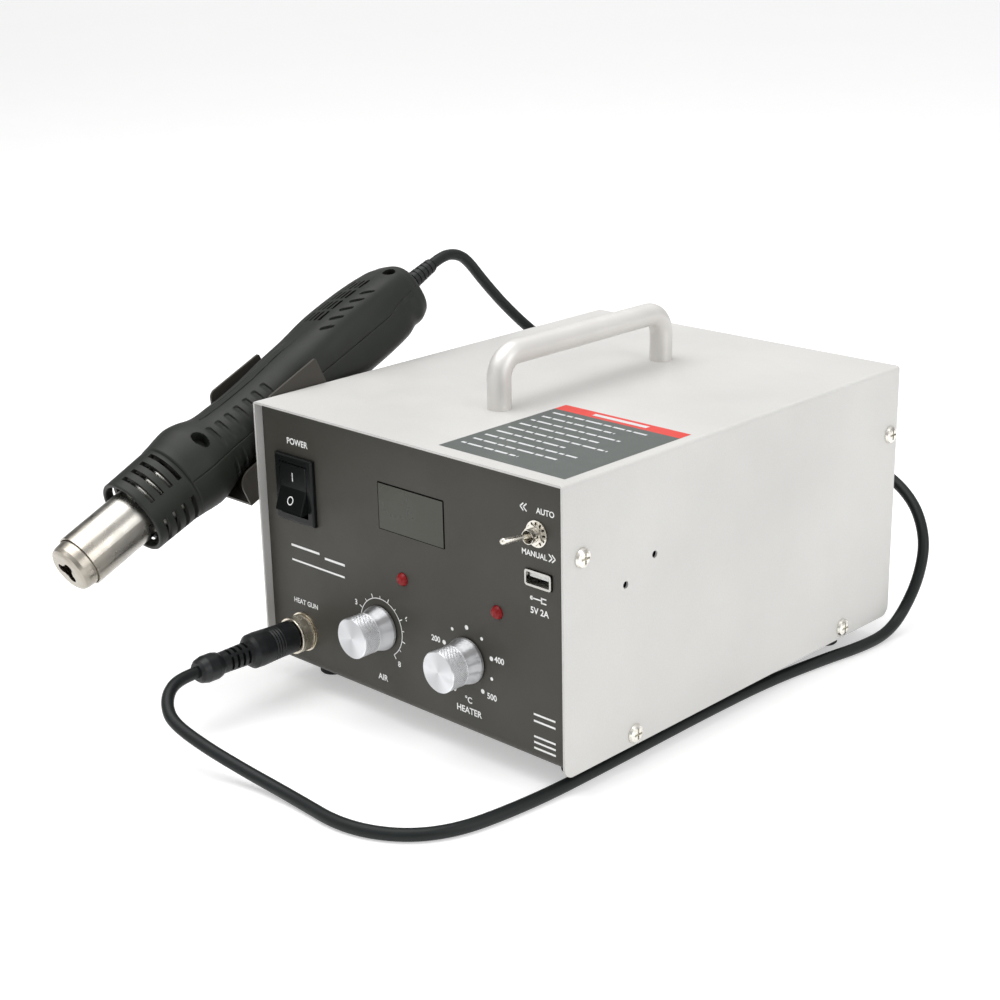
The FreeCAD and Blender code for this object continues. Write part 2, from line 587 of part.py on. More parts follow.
def make_cradle_magnet():
    """Block magnet on the trough floor, which tells the gun that it is parked."""
    top = FLOOR_N + MAGNET_H
    block = box(GUN_X - 8, GUN_X + 8, 66.0, 84.0, FLOOR_N, top)
    return in_cradle(softened(block, 0.5, keep=lambda c: c.z > top - 0.01))


# ---------------------------------------------------------------- hot-air gun
# Drawn about its own axis: +Y runs from nozzle to tail, +Z is its top.
# Each section: half width, half height, corner radius, distance along the axis.
BODY_SECTIONS = (
    (19.3, 19.3, 19.1, 7.0), (19.6, 19.6, 19.4, 10.0), (20.4, 20.4, 20.2, 15.0),
    (20.9, 20.9, 20.7, 21.0), (20.2, 19.6, 19.2, 27.0), (19.3, 17.4, 17.0, 33.0),
    (19.0, 15.9, 15.4, 47.0), (19.0, 15.8, 15.0, 66.0), (19.5, 16.9, 14.4, 85.0),
    (20.0, 17.2, 13.0, 100.0), (20.6, 18.1, 11.6, 116.0), (20.8, 17.9, 10.8, 131.0),
    (20.5, 17.3, 10.4, 145.0), (19.6, 16.6, 10.4, 154.0), (17.9, 15.3, 10.2, 162.0),
    (15.4, 13.2, 9.6, 166.5), (12.0, 10.4, 8.6, 168.5))
WALL = 2.2
GUN_TAIL = 168.5
CAGE_FRONT = -17.5
SLOT_FIRST, SLOT_PITCH, SLOT_W = -12.0, 5.4, 2.2    # heat guard's slots along the axis
TUBE_FRONT = -48.6
TUBE_R = 12.55
CAP_FRONT = -56.0
RELIEF_END = 189.0
GUN_SCREWS = ((16.0, 24.0, 9.0), (12.0, 157.6, 13.0))    # x, y and height of the boss's top


def gun_placement():
    turn = FreeCAD.Rotation(X_AXIS, GUN_TILT).multiply(FreeCAD.Rotation(Y_AXIS, GUN_ROLL))
    return FreeCAD.Placement(cradle_point(GUN_X, 0, GUN_N), turn)


def in_gun(shape):
    copy = shape.copy()
    copy.Placement = gun_placement().multiply(copy.Placement)
    return copy


def body_solid(inset):
    return lofted([(w - inset, h - inset, r - inset, y) for w, h, r, y in BODY_SECTIONS])


def cage_slots():
    """Four rings of slots in each quarter of the heat guard."""
    cuts = []
    for i in range(4):
        y = SLOT_FIRST + SLOT_PITCH * i
        ring = pipe(V(0, y - SLOT_W / 2, 0), Y_AXIS, 22.0, 14.0, SLOT_W)
        for side in (0, 180):
            for first in (14.5, 104.5):
                wedge = sector(first + side, first + side + 61, 24.0, y - 2, 4.0)
                cuts.append(ring.common(wedge))
    return cuts


def sector(a0, a1, r, y, length):
    """Wedge about the Y axis between two angles measured from +X towards +Z."""
    points = [V(0, y, 0)]
    for k in range(5):
        a = math.radians(a0 + (a1 - a0) * k / 4)
        points.append(V(r * math.cos(a), y, r * math.sin(a)))
    return Part.Face(Part.makePolygon(points + [points[0]])).extrude(V(0, length, 0))


def make_shell_blank():
    """Whole housing before it is split: heat guard, partition and grip."""
    guard = turned([(16.3, CAGE_FRONT + 0.9), (17.0, CAGE_FRONT), (17.6, CAGE_FRONT),
                    (18.3, CAGE_FRONT + 0.9), (18.9, 6.2), (18.9, 9.0), (16.4, 9.0)])
    grip = body_solid(0).cut(body_solid(WALL))
    grip = grip.cut(rod(V(0, 5.0, 0), Y_AXIS, 16.4, 6.0))
    partition = turned([(TUBE_R + 0.1, 9.0), (19.2, 9.0), (19.2, 11.4), (TUBE_R + 0.1, 11.4)])
    tail_wall = turned([(3.6, GUN_TAIL - 2.6), (9.4, GUN_TAIL - 2.6), (9.4, GUN_TAIL - 0.01),
                        (3.6, GUN_TAIL - 0.01)])
    bosses = []
    for x, y, seat in GUN_SCREWS:
        for sx in (-x, x):
            bosses.append(rod(V(sx, y, -seat + 1.0), Z_AXIS, 3.3, 2 * seat - 2.0))
    bosses = [boss.common(body_solid(0.8)) for boss in bosses]
    return joined([guard, grip, partition, tail_wall] + bosses)


def shell_cuts():
    cuts = cage_slots()
    for x, y, seat in GUN_SCREWS:
        for sx in (-x, x):
            cuts.append(rod(V(sx, y, -seat + 3), Z_AXIS, 1.35, 60))
            cuts.append(rod(V(sx, y, seat - 3.4), Z_AXIS, 2.8, 20))
    cuts.append(rod(V(0, GUN_TAIL - 4, 0), Y_AXIS, 3.6, 6))
    return cuts


def vent_slots():
    """Fan intake: four rows of four slots in the top of the tail."""
    cuts = []
    for i in range(4):
        y = 116.0 + 9.4 * i
        for x in (-3.5, 0.5, 4.5, 8.5):
            cuts.append(softened(box(x - 0.85, x + 0.85, y - 3.4, y + 3.4, 5, 25), 0.8, Z_AXIS))
    return cuts


def half_space(top):
    z0, z1 = (0, 60) if top else (-60, 0)
    return box(-60, 60, -80, 220, z0, z1)


def make_gun_shells():
    blank = make_shell_blank()
    blank = minus(blank, shell_cuts())
    upper = blank.common(half_space(True))
    lower = blank.common(half_space(False))
    upper = minus(upper, vent_slots())
    return upper, lower


def make_gun_screws():
    screws = []
    for x, y, seat in GUN_SCREWS:
        for sx in (-x, x):
            screw = spun(pan_screw(1.3, 2.4, 1.6, 2 * seat - 10), -90, axis=X_AXIS)
            screws.append(moved(screw, sx, y, seat - 3.4))
    return Part.makeCompound(screws)


def make_heater_tube():
    """Steel tube with a rear collar that the housing's partition holds."""
    tube = turned([(TUBE_R - 0.6, TUBE_FRONT), (TUBE_R, TUBE_FRONT), (TUBE_R, 11.6), (15.5, 11.6),
                   (15.5, 12.6), (TUBE_R - 0.6, 12.6)])
    return tube


def make_nozzle_cap():
    """Domed outlet cap with a three-lobed opening, pressed into the tube."""
    cap = turned([(10.9, -42.0), (11.5, -42.0), (11.5, TUBE_FRONT - 1.4), (11.2, TUBE_FRONT - 4.6),
                  (10.6, CAP_FRONT + 1.0), (9.4, CAP_FRONT + 0.2), (8.4, CAP_FRONT), (0, CAP_FRONT),
                  (0, CAP_FRONT + 0.9), (8.4, CAP_FRONT + 0.9), (10.2, TUBE_FRONT - 4.4),
                  (10.9, TUBE_FRONT - 1.2)])
    lobes = [rod(V(0, CAP_FRONT - 2, 0), Y_AXIS, 3.3, 6)]
    lobes += [spun(rod(V(3.5, CAP_FRONT - 2, 0), Y_AXIS, 2.3, 6), 90 + a) for a in (0, 120, 240)]
    return cap.cut(joined(lobes))


def make_mica_sleeve():
    return pipe(V(0, -38.0, 0), Y_AXIS, 11.6, 11.2, 48.0)


def make_heater_core():
    """Star-shaped ceramic that carries the heating coil."""
    arms = [spun(box(-9.4, 9.4, -32.0, 6.0, -0.9, 0.9), a) for a in (0, 60, 120)]
    hub = rod(V(0, -32.0, 0), Y_AXIS, 2.6, 38.0)
    disc = pipe(V(0, 6.0, 0), Y_AXIS, 11.0, 8.0, 2.0)
    spokes = [spun(box(-9.4, 9.4, 6.0, 8.0, -0.9, 0.9), a) for a in (0, 60, 120)]
    core = joined(arms + [hub, disc] + spokes)
    grooves = [pipe(V(0, -28.0 + 4.0 * i, 0), Y_AXIS, 11.0, 8.3, 1.2) for i in range(8)]
    return minus(core, grooves)


def make_heating_coil():
    """Eight rings of resistance ribbon that sit in the ceramic's grooves."""
    rings = [pipe(V(0, -27.7 + 4.0 * i, 0), Y_AXIS, 9.0, 8.4, 0.6) for i in range(8)]
    return Part.makeCompound(rings)


def make_thermocouple():
    return rod(V(0, -38.0, 0), Y_AXIS, 0.8, 5.9)


def make_blower_housing():
    """Round fan case across the grip with its outlet towards the heater."""
    case = pipe(V(0, 112.0, 0), Y_AXIS, 13.6, 12.4, 36.0)
    back = pipe(V(0, 146.4, 0), Y_AXIS, 12.6, 4.0, 1.6)
    spider = [spun(box(3.5, 12.6, 113.0, 115.0, -0.9, 0.9), a) for a in (0, 120, 240)]
    seat = pipe(V(0, 112.0, 0), Y_AXIS, 4.6, 3.3, 6.0)
    return joined([case, back, seat] + spider)


def make_blower_motor():
    can = rod(V(0, 112.0, 0), Y_AXIS, 3.2, 14.0)
    spindle = rod(V(0, 126.0, 0), Y_AXIS, 1.0, 12.0)
    return joined([can, spindle])


def make_blower_impeller():
    """Bladed wheel that runs on the motor's spindle."""
    hub = pipe(V(0, 128.0, 0), Y_AXIS, 3.2, 1.05, 12.0)
    disc = pipe(V(0, 128.0, 0), Y_AXIS, 11.4, 3.1, 1.2)
    blades = []
    for k in range(9):
        blade = box(3.0, 11.4, 129.1, 139.5, -0.45, 0.45)
        blades.append(spun(spun(blade, 24, V(3.0, 0, 0)), 40 * k))
    return joined([hub, disc] + blades)


def make_sensor_board():
    """Small board with the reed switch that feels the cradle's magnet."""
    board = box(-7.0, 7.0, 60.0, 96.0, -11.4, -9.8)
    reed = rod(V(0, 66.0, -12.3), Y_AXIS, 1.1, 16.0)
    return joined([board, reed])


def make_gun_relief():
    """Ribbed rubber sleeve round the cord where it leaves the tail."""
    profile = [(0, GUN_TAIL - 5.0), (5.2, GUN_TAIL - 5.0), (5.2, GUN_TAIL - 2.7), (3.55, GUN_TAIL - 2.7),
               (3.55, GUN_TAIL)]
    ribs = 7
    pitch = (RELIEF_END - GUN_TAIL) / ribs
    for k in range(ribs):
        y = GUN_TAIL + pitch * k
        r = 4.6 - 1.1 * k / ribs
        profile += [(r, y + 0.05), (r, y + pitch * 0.62), (r - 0.55, y + pitch * 0.72),
                    (r - 0.55, y + pitch * 0.95)]
    profile += [(3.4, RELIEF_END), (0, RELIEF_END)]
    return turned(profile)


# ---------------------------------------------------------------- inside the case
def make_mains_inlet():
    """Appliance inlet on the rear panel: flange, body and the cavity for the plug."""
    y = REAR_Y
    flange = box(-24.5, 24.5, y, y + 2.8, -11.2, 11.2)
    flange = softened(flange, 6.0, Y_AXIS)
    body = box(-13.5, 13.5, y - 15.5, y, -9.8, 9.8)
    cavity = box(-12.2, 12.2, y - 13.0, y + 4, -8.2, 8.2)
    cavity = softened(cavity, 3.5, Y_AXIS, lambda c: c.z > 0)
    holes = [rod(V(dx, y - 1, 0), Y_AXIS, 1.7, 6) for dx in (-INLET_SCREW_DX, INLET_SCREW_DX)]
    slots = [box(x - 1.0, x + 1.0, y - 20.0, y, z - 2.0, z + 2.0) for x, z in INLET_PINS]
    return moved(minus(joined([flange, body]), [cavity] + holes + slots), INLET_X, 0, INLET_Z)


def make_inlet_pins():
    y = REAR_Y
    pins = [box(x - 1.0, x + 1.0, y - 24.0, y - 2.0, z - 2.0, z + 2.0) for x, z in INLET_PINS]
    return Part.makeCompound([moved(pin, INLET_X, 0, INLET_Z) for pin in pins])


def make_inlet_screws():
    screw = spun(pan_screw(1.3, 2.9, 1.6, 9.0), 180, axis=Z_AXIS)
    return Part.makeCompound([moved(screw, INLET_X + dx, REAR_Y + 2.8, INLET_Z)
                              for dx in (-INLET_SCREW_DX, INLET_SCREW_DX)])


BOARD_Z = CHASSIS_Z + SHEET + 8.0


def make_main_board():
    board = box(-70, 36, 88, 192, BOARD_Z, BOARD_Z + 1.6)
    return minus(board, [rod(V(x, y, BOARD_Z - 1), Z_AXIS, 1.6, 4) for x, y in BOARD_STANDOFFS])


def make_board_standoffs():
    posts = []
    for x, y in BOARD_STANDOFFS:
        post = rod(V(x, y, CHASSIS_Z + SHEET), Z_AXIS, 2.8, BOARD_Z - CHASSIS_Z - SHEET)
        stud = rod(V(x, y, CHASSIS_Z), Z_AXIS, 1.25, BOARD_Z - CHASSIS_Z + 4.0)
        posts.append(joined([post, stud]))
    return Part.makeCompound(posts)


def make_heat_sink():
    base = box(-50, -10, 108, 112, BOARD_Z + 1.6, BOARD_Z + 36)
    fins = [box(x - 0.8, x + 0.8, 112, 124, BOARD_Z + 1.6, BOARD_Z + 36) for x in range(-48, -8, 6)]
    return joined([base] + fins)


def make_power_triac():
    tab = box(-35, -25, 106.8, 108, BOARD_Z + 12, BOARD_Z + 28)
    block = box(-35, -25, 103.5, 106.8, BOARD_Z + 12, BOARD_Z + 21)
    legs = [box(x - 0.4, x + 0.4, 104.6, 105.4, BOARD_Z + 1.6, BOARD_Z + 12) for x in (-32.5, -30, -27.5)]
    return joined([tab, block] + legs)


def make_capacitors():
    spots = ((10.0, 110.0, 8.0, 30.0), (28.0, 112.0, 6.3, 22.0), (12.0, 172.0, 5.0, 16.0))
    return Part.makeCompound([rod(V(x, y, BOARD_Z + 1.6), Z_AXIS, r, h) for x, y, r, h in spots])


def make_glass_fuse():
    z = BOARD_Z + 7.0
    glass = rod(V(-50, 178, z), X_AXIS, 2.4, 20)
    caps = [rod(V(x, 178, z), X_AXIS, 2.7, 5) for x in (-51, -34)]
    clips = [box(x - 1.5, x + 1.5, 176.5, 179.5, BOARD_Z + 1.6, z - 2.0) for x in (-48.5, -31.5)]
    return joined([glass] + caps + clips)


def make_transformer_core():
    x, y, z = TRANSFORMER_X, TRANSFORMER_Y, CHASSIS_Z + SHEET
    stack = box(x - 16, x + 16, y - 27, y + 27, z, z + 45)
    windows = [box(x - 17, x + 17, y + dy - 5.5, y + dy + 5.5, z + 9, z + 36) for dy in (-14.5, 14.5)]
    return minus(stack, windows)


def make_transformer_windings():
    x, y, z = TRANSFORMER_X, TRANSFORMER_Y, CHASSIS_Z + SHEET
    coil = box(x - 25, x + 25, y - 19.6, y + 19.6, z + 9.4, z + 35.6)
    coil = softened(coil, 4.0, Z_AXIS)
    core = box(x - 16.3, x + 16.3, y - 9.4, y + 9.4, z, z + 45)
    return coil.cut(core)


# ---------------------------------------------------------------- gun cord
# Corners of the cord's route, from the plug to the gun's tail, in case coordinates.
CORD_ROUTE = [
    (-71.0, -58.0, 28.4), (-71.0, -66.5, 28.4), (-68.2, -74.8, 26.6), (-62.5, -80.8, 23.0),
    (-54.2, -84.0, 19.0), (-38.0, -81.5, 13.0), (-17.0, -76.5, 6.5), (10.0, -74.0, 2.9),
    (50.0, -77.0, 2.75), (79.0, -57.0, 2.75), (86.5, -14.0, 2.75), (87.0, 36.0, 2.75),
    (86.5, 92.0, 2.75), (87.5, 144.0, 2.75), (92.5, 182.0, 2.75), (97.5, 208.0, 2.75),
    (98.0, 228.0, 3.0), (97.5, 243.0, 9.5), (100.5, 251.5, 27.0), (98.0, 259.0, 45.0),
    (82.0, 270.0, 60.0), (50.0, 282.0, 68.0), (8.0, 287.0, 74.0), (-34.0, 282.0, 81.0),
    (-72.0, 266.0, 90.0), (-101.0, 239.0, 103.0), (-114.0, 212.0, 120.0),
    (-116.5, 190.0, 139.5), (-116.5, 172.0, 157.5), (-116.5, 159.7, 171.4),
    (-116.5, 151.5, 175.2), (-116.5, 142.62, 175.31), (-116.5, 135.3, 172.08)]


def cord_path(points):
    """Straight runs joined by tangent arcs, each as large as its two runs allow."""
    edges = []
    here = V(*points[0])
    for a, b, c in zip(points, points[1:], points[2:]):
        a, b, c = V(*a), V(*b), V(*c)
        u, w = (a - b).normalize(), (c - b).normalize()
        half_turn = (math.pi - math.acos(max(-1.0, min(1.0, u.dot(w))))) / 2
        reach = 0.45 * min((a - b).Length, (c - b).Length)
        r = reach / math.tan(half_turn)
        start, stop = b + u * reach, b + w * reach
        mid = b + (u + w).normalize() * (r / math.cos(half_turn) - r)
        edges.append(Part.LineSegment(here, start).toShape())
        edges.append(Part.Arc(start, mid, stop).toShape())
        here = stop
    edges.append(Part.LineSegment(here, V(*points[-1])).toShape())
    return Part.Wire(edges)


def make_gun_cord():
    start, second = V(*CORD_ROUTE[0]), V(*CORD_ROUTE[1])
    ring = Part.Wire([Part.makeCircle(CORD_D / 2, start, second - start)])
    return cord_path(CORD_ROUTE).makePipeShell([ring], True, False)


# ---------------------------------------------------------------- build
def build():
    write("top_cover", make_top_cover())
    write("base_chassis", make_base_chassis())
    write("case_screws", make_case_screws())
    write("rubber_feet", make_feet())
    write("foot_screws", make_foot_screws())
    write("carry_handle", make_carry_handle())
    write("handle_screws", make_handle_screws())
    write("rocker_housing", make_rocker_housing())
    write("rocker", make_rocker())
    write("toggle_body", make_toggle_body())
    write("toggle_bushing", make_toggle_bushing())
    write("toggle_washer", make_toggle_washer())
    write("toggle_nut", make_toggle_nut())
    write("toggle_lever", make_toggle_lever())
    write("display_window", make_display_window())
    write("display_module", make_display_module())
    write("panel_board", make_panel_board())
    write("led_lamps", make_led_lamps())
    write("usb_shell", make_usb_shell())
    write("usb_tongue", make_usb_tongue())
    write("usb_board", make_usb_board())
    for name, x in (("air", AIR_X), ("heater", HEAT_X)):
        write(name + "_knob", make_knob(x))
        write(name + "_knob_shaft", make_knob_shaft(x))
    write("potentiometers", make_potentiometers())
    write("pot_nuts", make_pot_nuts())
    write("gun_socket", make_gun_socket())
    write("socket_nut", make_socket_nut())
    write("coupling_ring", make_coupling_ring())
    write("gun_plug", make_gun_plug())
    write("holder_bracket", make_holder_bracket())
    write("bracket_screws", make_bracket_screws())
    write("cradle_magnet", make_cradle_magnet())
    write("mains_inlet", make_mains_inlet())
    write("inlet_pins", make_inlet_pins())
    write("inlet_screws", make_inlet_screws())
    write("main_board", make_main_board())
    write("board_standoffs", make_board_standoffs())
    write("heat_sink", make_heat_sink())
    write("power_triac", make_power_triac())
    write("smoothing_capacitors", make_capacitors())
    write("glass_fuse", make_glass_fuse())
    write("transformer_core", make_transformer_core())
    write("transformer_windings", make_transformer_windings())
    upper, lower = make_gun_shells()
    write("gun_shell_upper", in_gun(upper))
    write("gun_shell_lower", in_gun(lower))
    write("gun_screws", in_gun(make_gun_screws()))
    write("heater_tube", in_gun(make_heater_tube()))
    write("nozzle_cap", in_gun(make_nozzle_cap()))
    write("mica_sleeve", in_gun(make_mica_sleeve()))
    write("heater_core", in_gun(make_heater_core()))
    write("heating_coil", in_gun(make_heating_coil()))
    write("thermocouple", in_gun(make_thermocouple()))
    write("blower_housing", in_gun(make_blower_housing()))
    write("blower_motor", in_gun(make_blower_motor()))
    write("blower_impeller", in_gun(make_blower_impeller()))
    write("sensor_board", in_gun(make_sensor_board()))
    write("gun_cord_relief", in_gun(make_gun_relief()))
    write("gun_cord", make_gun_cord())


build()
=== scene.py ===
import json
import math

import bmesh
import bpy
import numpy as np
from mathutils import Matrix, Vector


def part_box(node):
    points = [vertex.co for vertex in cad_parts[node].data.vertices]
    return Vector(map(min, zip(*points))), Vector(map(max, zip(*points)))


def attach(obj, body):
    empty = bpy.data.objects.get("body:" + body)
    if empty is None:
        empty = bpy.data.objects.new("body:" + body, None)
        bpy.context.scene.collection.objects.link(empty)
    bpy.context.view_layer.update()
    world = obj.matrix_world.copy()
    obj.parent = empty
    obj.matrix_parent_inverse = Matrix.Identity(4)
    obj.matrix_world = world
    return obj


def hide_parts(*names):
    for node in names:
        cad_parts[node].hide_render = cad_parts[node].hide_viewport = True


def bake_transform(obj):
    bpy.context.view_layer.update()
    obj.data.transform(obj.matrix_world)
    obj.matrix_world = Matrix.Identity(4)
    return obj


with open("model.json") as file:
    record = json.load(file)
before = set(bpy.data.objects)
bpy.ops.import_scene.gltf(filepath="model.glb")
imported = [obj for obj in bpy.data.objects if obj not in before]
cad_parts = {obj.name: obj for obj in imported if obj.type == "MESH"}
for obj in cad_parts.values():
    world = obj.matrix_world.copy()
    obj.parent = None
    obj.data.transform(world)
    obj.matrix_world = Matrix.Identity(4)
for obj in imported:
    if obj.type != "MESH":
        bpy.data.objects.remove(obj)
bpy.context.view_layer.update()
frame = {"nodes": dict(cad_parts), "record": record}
NODES = frame["nodes"]
MM = 0.001

# ---------------------------------------------------------------- case coordinates
# Places below are in mm from the case's mid-plane (x), its cover's front edge (y)
# and the bench (z), as in the CAD. at() turns them into the row frame.
COVER_LO, COVER_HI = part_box("top_cover")
MID_X = (COVER_LO.x + COVER_HI.x) / 2
FRONT_Y = COVER_LO.y
PANEL_Y = 4.0
COVER_TOP = COVER_HI.z / MM


def at(x, y, z):
    return Vector((MID_X + x * MM, FRONT_Y + y * MM, z * MM))


# ---------------------------------------------------------------- camera
CAMERA_AT = (543.78, -494.54, 358.04)
AZIMUTH, ELEVATION, ROLL = 44.36, 18.82, -1.20
LENS, SENSOR = 66.54, 36.0


def make_camera():
    az, el, roll = (math.radians(a) for a in (AZIMUTH, ELEVATION, ROLL))
    back = Vector((math.sin(az) * math.cos(el), -math.cos(az) * math.cos(el), math.sin(el)))
    right = Vector((math.cos(az), math.sin(az), 0))
    up = back.cross(right)
    right, up = (math.cos(roll) * right + math.sin(roll) * up,
                 -math.sin(roll) * right + math.cos(roll) * up)
    data = bpy.data.cameras.new("camera")
    data.lens, data.sensor_width = LENS, SENSOR
    data.clip_start, data.clip_end = 0.01, 20
    camera = bpy.data.objects.new("camera", data)
    camera.matrix_world = Matrix.Translation(at(*CAMERA_AT)) @ Matrix((right, up, back)).transposed().to_4x4()
    bpy.context.scene.collection.objects.link(camera)
    bpy.context.scene.camera = camera


make_camera()

# ---------------------------------------------------------------- gun cord
CORD_D = 5.5 * MM
CORD_ROUTE = [
    (-71.0, -58.0, 28.4), (-71.0, -66.5, 28.4), (-68.2, -74.8, 26.6), (-62.5, -80.8, 23.0),
    (-54.2, -84.0, 19.0), (-38.0, -81.5, 13.0), (-17.0, -76.5, 6.5), (10.0, -74.0, 2.9),
    (50.0, -77.0, 2.75), (79.0, -57.0, 2.75), (86.5, -14.0, 2.75), (87.0, 36.0, 2.75),
    (86.5, 92.0, 2.75), (87.5, 144.0, 2.75), (92.5, 182.0, 2.75), (97.5, 208.0, 2.75),
    (98.0, 228.0, 3.0), (97.5, 243.0, 9.5), (100.5, 251.5, 27.0), (98.0, 259.0, 45.0),
    (82.0, 270.0, 60.0), (50.0, 282.0, 68.0), (8.0, 287.0, 74.0), (-34.0, 282.0, 81.0),
    (-72.0, 266.0, 90.0), (-101.0, 239.0, 103.0), (-114.0, 212.0, 120.0),
    (-116.5, 190.0, 139.5), (-116.5, 172.0, 157.5), (-116.5, 159.7, 171.4),
    (-116.5, 151.5, 175.2), (-116.5, 142.62, 175.31), (-116.5, 135.3, 172.08)]


def cord_curve(bevel):
    data = bpy.data.curves.new("gun_cord_line", "CURVE")
    data.dimensions = "3D"
    data.resolution_u = 12
    data.bevel_depth = bevel
    data.bevel_resolution = 5
    line = data.splines.new("NURBS")
    line.points.add(len(CORD_ROUTE) - 1)
    for point, place in zip(line.points, CORD_ROUTE):
        point.co = (*at(*place), 1)
    line.order_u = 3
    line.use_endpoint_u = True
    return bpy.data.objects.new("gun_cord_line", data)


def curve_mesh(curve):
    """Mesh of a curve object, which is then removed."""
    bpy.context.scene.collection.objects.link(curve)
    bpy.context.view_layer.update()
    mesh = bpy.data.meshes.new_from_object(curve.evaluated_get(bpy.context.evaluated_depsgraph_get()))
    mesh.transform(curve.matrix_world)
    bpy.data.objects.remove(curve)
    return mesh


def make_cord():
    """Round cord along a fixed route that ends at the gun's tail."""
    path = [tuple(v.co) for v in curve_mesh(cord_curve(0)).vertices]
    cord = bpy.data.objects.new("cord", curve_mesh(cord_curve(CORD_D / 2)))
    cord.data.shade_smooth()
    bpy.context.scene.collection.objects.link(cord)
    tail = at(*CORD_ROUTE[-1])
    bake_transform(cord)
    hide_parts("gun_cord")
    tuple(at(*CORD_ROUTE[0]))
    return cord


CORD = make_cord()


# ---------------------------------------------------------------- materials
def srgb(*rgb):
    """Linear colour from 0-255 display values."""
    return tuple(((c / 255 + 0.055) / 1.055) ** 2.4 if c > 10 else c / 255 / 12.92 for c in rgb)


class Shader:
    """Small helper that builds one Principled material from nodes."""

    def __init__(self, name):
        self.material = bpy.data.materials.new(name)
        self.material.use_nodes = True
        self.tree = self.material.node_tree
        self.principled = self.tree.nodes["Principled BSDF"]
        self.place = self.add("ShaderNodeTexCoord").outputs["Object"]

    def add(self, kind, **settings):
        node = self.tree.nodes.new(kind)
        for key, value in settings.items():
            setattr(node, key, value)
        return node

    def link(self, a, b):
        self.tree.links.new(a, b)

    def set(self, **values):
        for key, value in values.items():
            self.principled.inputs[key.replace("_", " ")].default_value = value

    def noise(self, scale, detail=3.0, vector=None, roughness=0.55):
        node = self.add("ShaderNodeTexNoise")
        node.inputs["Scale"].default_value = scale
        node.inputs["Detail"].default_value = detail
        node.inputs["Roughness"].default_value = roughness
        self.link(vector or self.place, node.inputs["Vector"])
        return node.outputs["Fac"]

    def ramp(self, value, stops):
        node = self.add("ShaderNodeValToRGB")
        elements = node.color_ramp.elements
        while len(elements) < len(stops):
            elements.new(0.5)
        for element, (position, colour) in zip(elements, stops):
            element.position = position
            element.color = (*colour, 1)
        self.link(value, node.inputs["Fac"])
        return node.outputs["Color"]

    def spread(self, value, low, high, from_low=0.3, from_high=0.7):
        node = self.add("ShaderNodeMapRange")
        numbers = {"From Min": from_low, "From Max": from_high, "To Min": low, "To Max": high}
        for key, number in numbers.items():
            node.inputs[key].default_value = number
        self.link(value, node.inputs["Value"])
        return node.outputs["Result"]

    def math(self, operation, a, b=None):
        node = self.add("ShaderNodeMath", operation=operation)
        for socket, value in zip(node.inputs, (a, b)):
            if isinstance(value, (int, float)):
                socket.default_value = value
            elif value is not None:
                self.link(value, socket)
        return node.outputs["Value"]

    def along(self, direction):
        """Distance along a fixed direction, in metres."""
        node = self.add("ShaderNodeVectorMath", operation="DOT_PRODUCT")
        self.link(self.place, node.inputs[0])
        node.inputs[1].default_value = direction
        return node.outputs["Value"]

    def stretched(self, scale):
        node = self.add("ShaderNodeMapping")
        node.inputs["Scale"].default_value = scale
        self.link(self.place, node.inputs["Vector"])
        return node.outputs["Vector"]

    def bump(self, height, strength, distance, below=None):
        node = self.add("ShaderNodeBump")
        node.inputs["Strength"].default_value = strength
        node.inputs["Distance"].default_value = distance
        self.link(height, node.inputs["Height"])
        if below is not None:
            self.link(below, node.inputs["Normal"])
        self.link(node.outputs["Normal"], self.principled.inputs["Normal"])
        return node.outputs["Normal"]


def tinted(colour, factor):
    return tuple(min(1.0, c * factor) for c in colour)


def plain(name, colour, rough, metal=0.0, tone=0.08, grain=1500.0, relief=0.15, patch=25.0, **sockets):
    """Surface with soft tone patches, uneven gloss and a fine grain."""
    s = Shader(name)
    cloud = s.noise(patch, 4.0)
    s.link(s.ramp(cloud, [(0.3, tinted(colour, 1 - tone)), (0.7, tinted(colour, 1 + tone))]),
           s.principled.inputs["Base Color"])
    scuff = s.noise(patch * 9, 5.0)
    s.link(s.spread(scuff, max(0.02, rough - 0.06), min(1.0, rough + 0.06)), s.principled.inputs["Roughness"])
    s.bump(s.noise(grain, 2.0), relief, 0.05 * MM)
    s.set(Metallic=metal, **sockets)
    return s.material


def bright(name, colour, rough):
    """Small plated or turned metal part, nearly clean."""
    return plain(name, colour, rough, metal=1.0, tone=0.05, grain=900.0, relief=0.03, patch=50.0)


TILT = math.radians(23.8)
GUN_AXIS = (0, math.cos(TILT), math.sin(TILT))


def powder_coat(name, colour, rough, grain, relief, gloss=0.45):
    """Baked powder paint: orange-peel grain with a few faint rub marks."""
    s = Shader(name)
    cloud = s.noise(9.0, 5.0)
    fleck = s.noise(grain * 0.8, 1.0)
    mixed = s.math("ADD", s.math("MULTIPLY", cloud, 0.7), s.math("MULTIPLY", fleck, 0.3))
    s.link(s.ramp(mixed, [(0.35, tinted(colour, 0.93)), (0.65, tinted(colour, 1.05))]),
           s.principled.inputs["Base Color"])
    rub = s.noise(40.0, 6.0, roughness=0.7)
    s.link(s.spread(rub, rough - 0.07, rough + 0.08), s.principled.inputs["Roughness"])
    coarse = s.bump(s.noise(grain * 0.35, 2.0), relief * 0.6, 0.06 * MM)
    s.bump(s.noise(grain, 2.0), relief, 0.04 * MM, below=coarse)
    s.set(Metallic=0.0, Specular_IOR_Level=gloss)
    return s.material


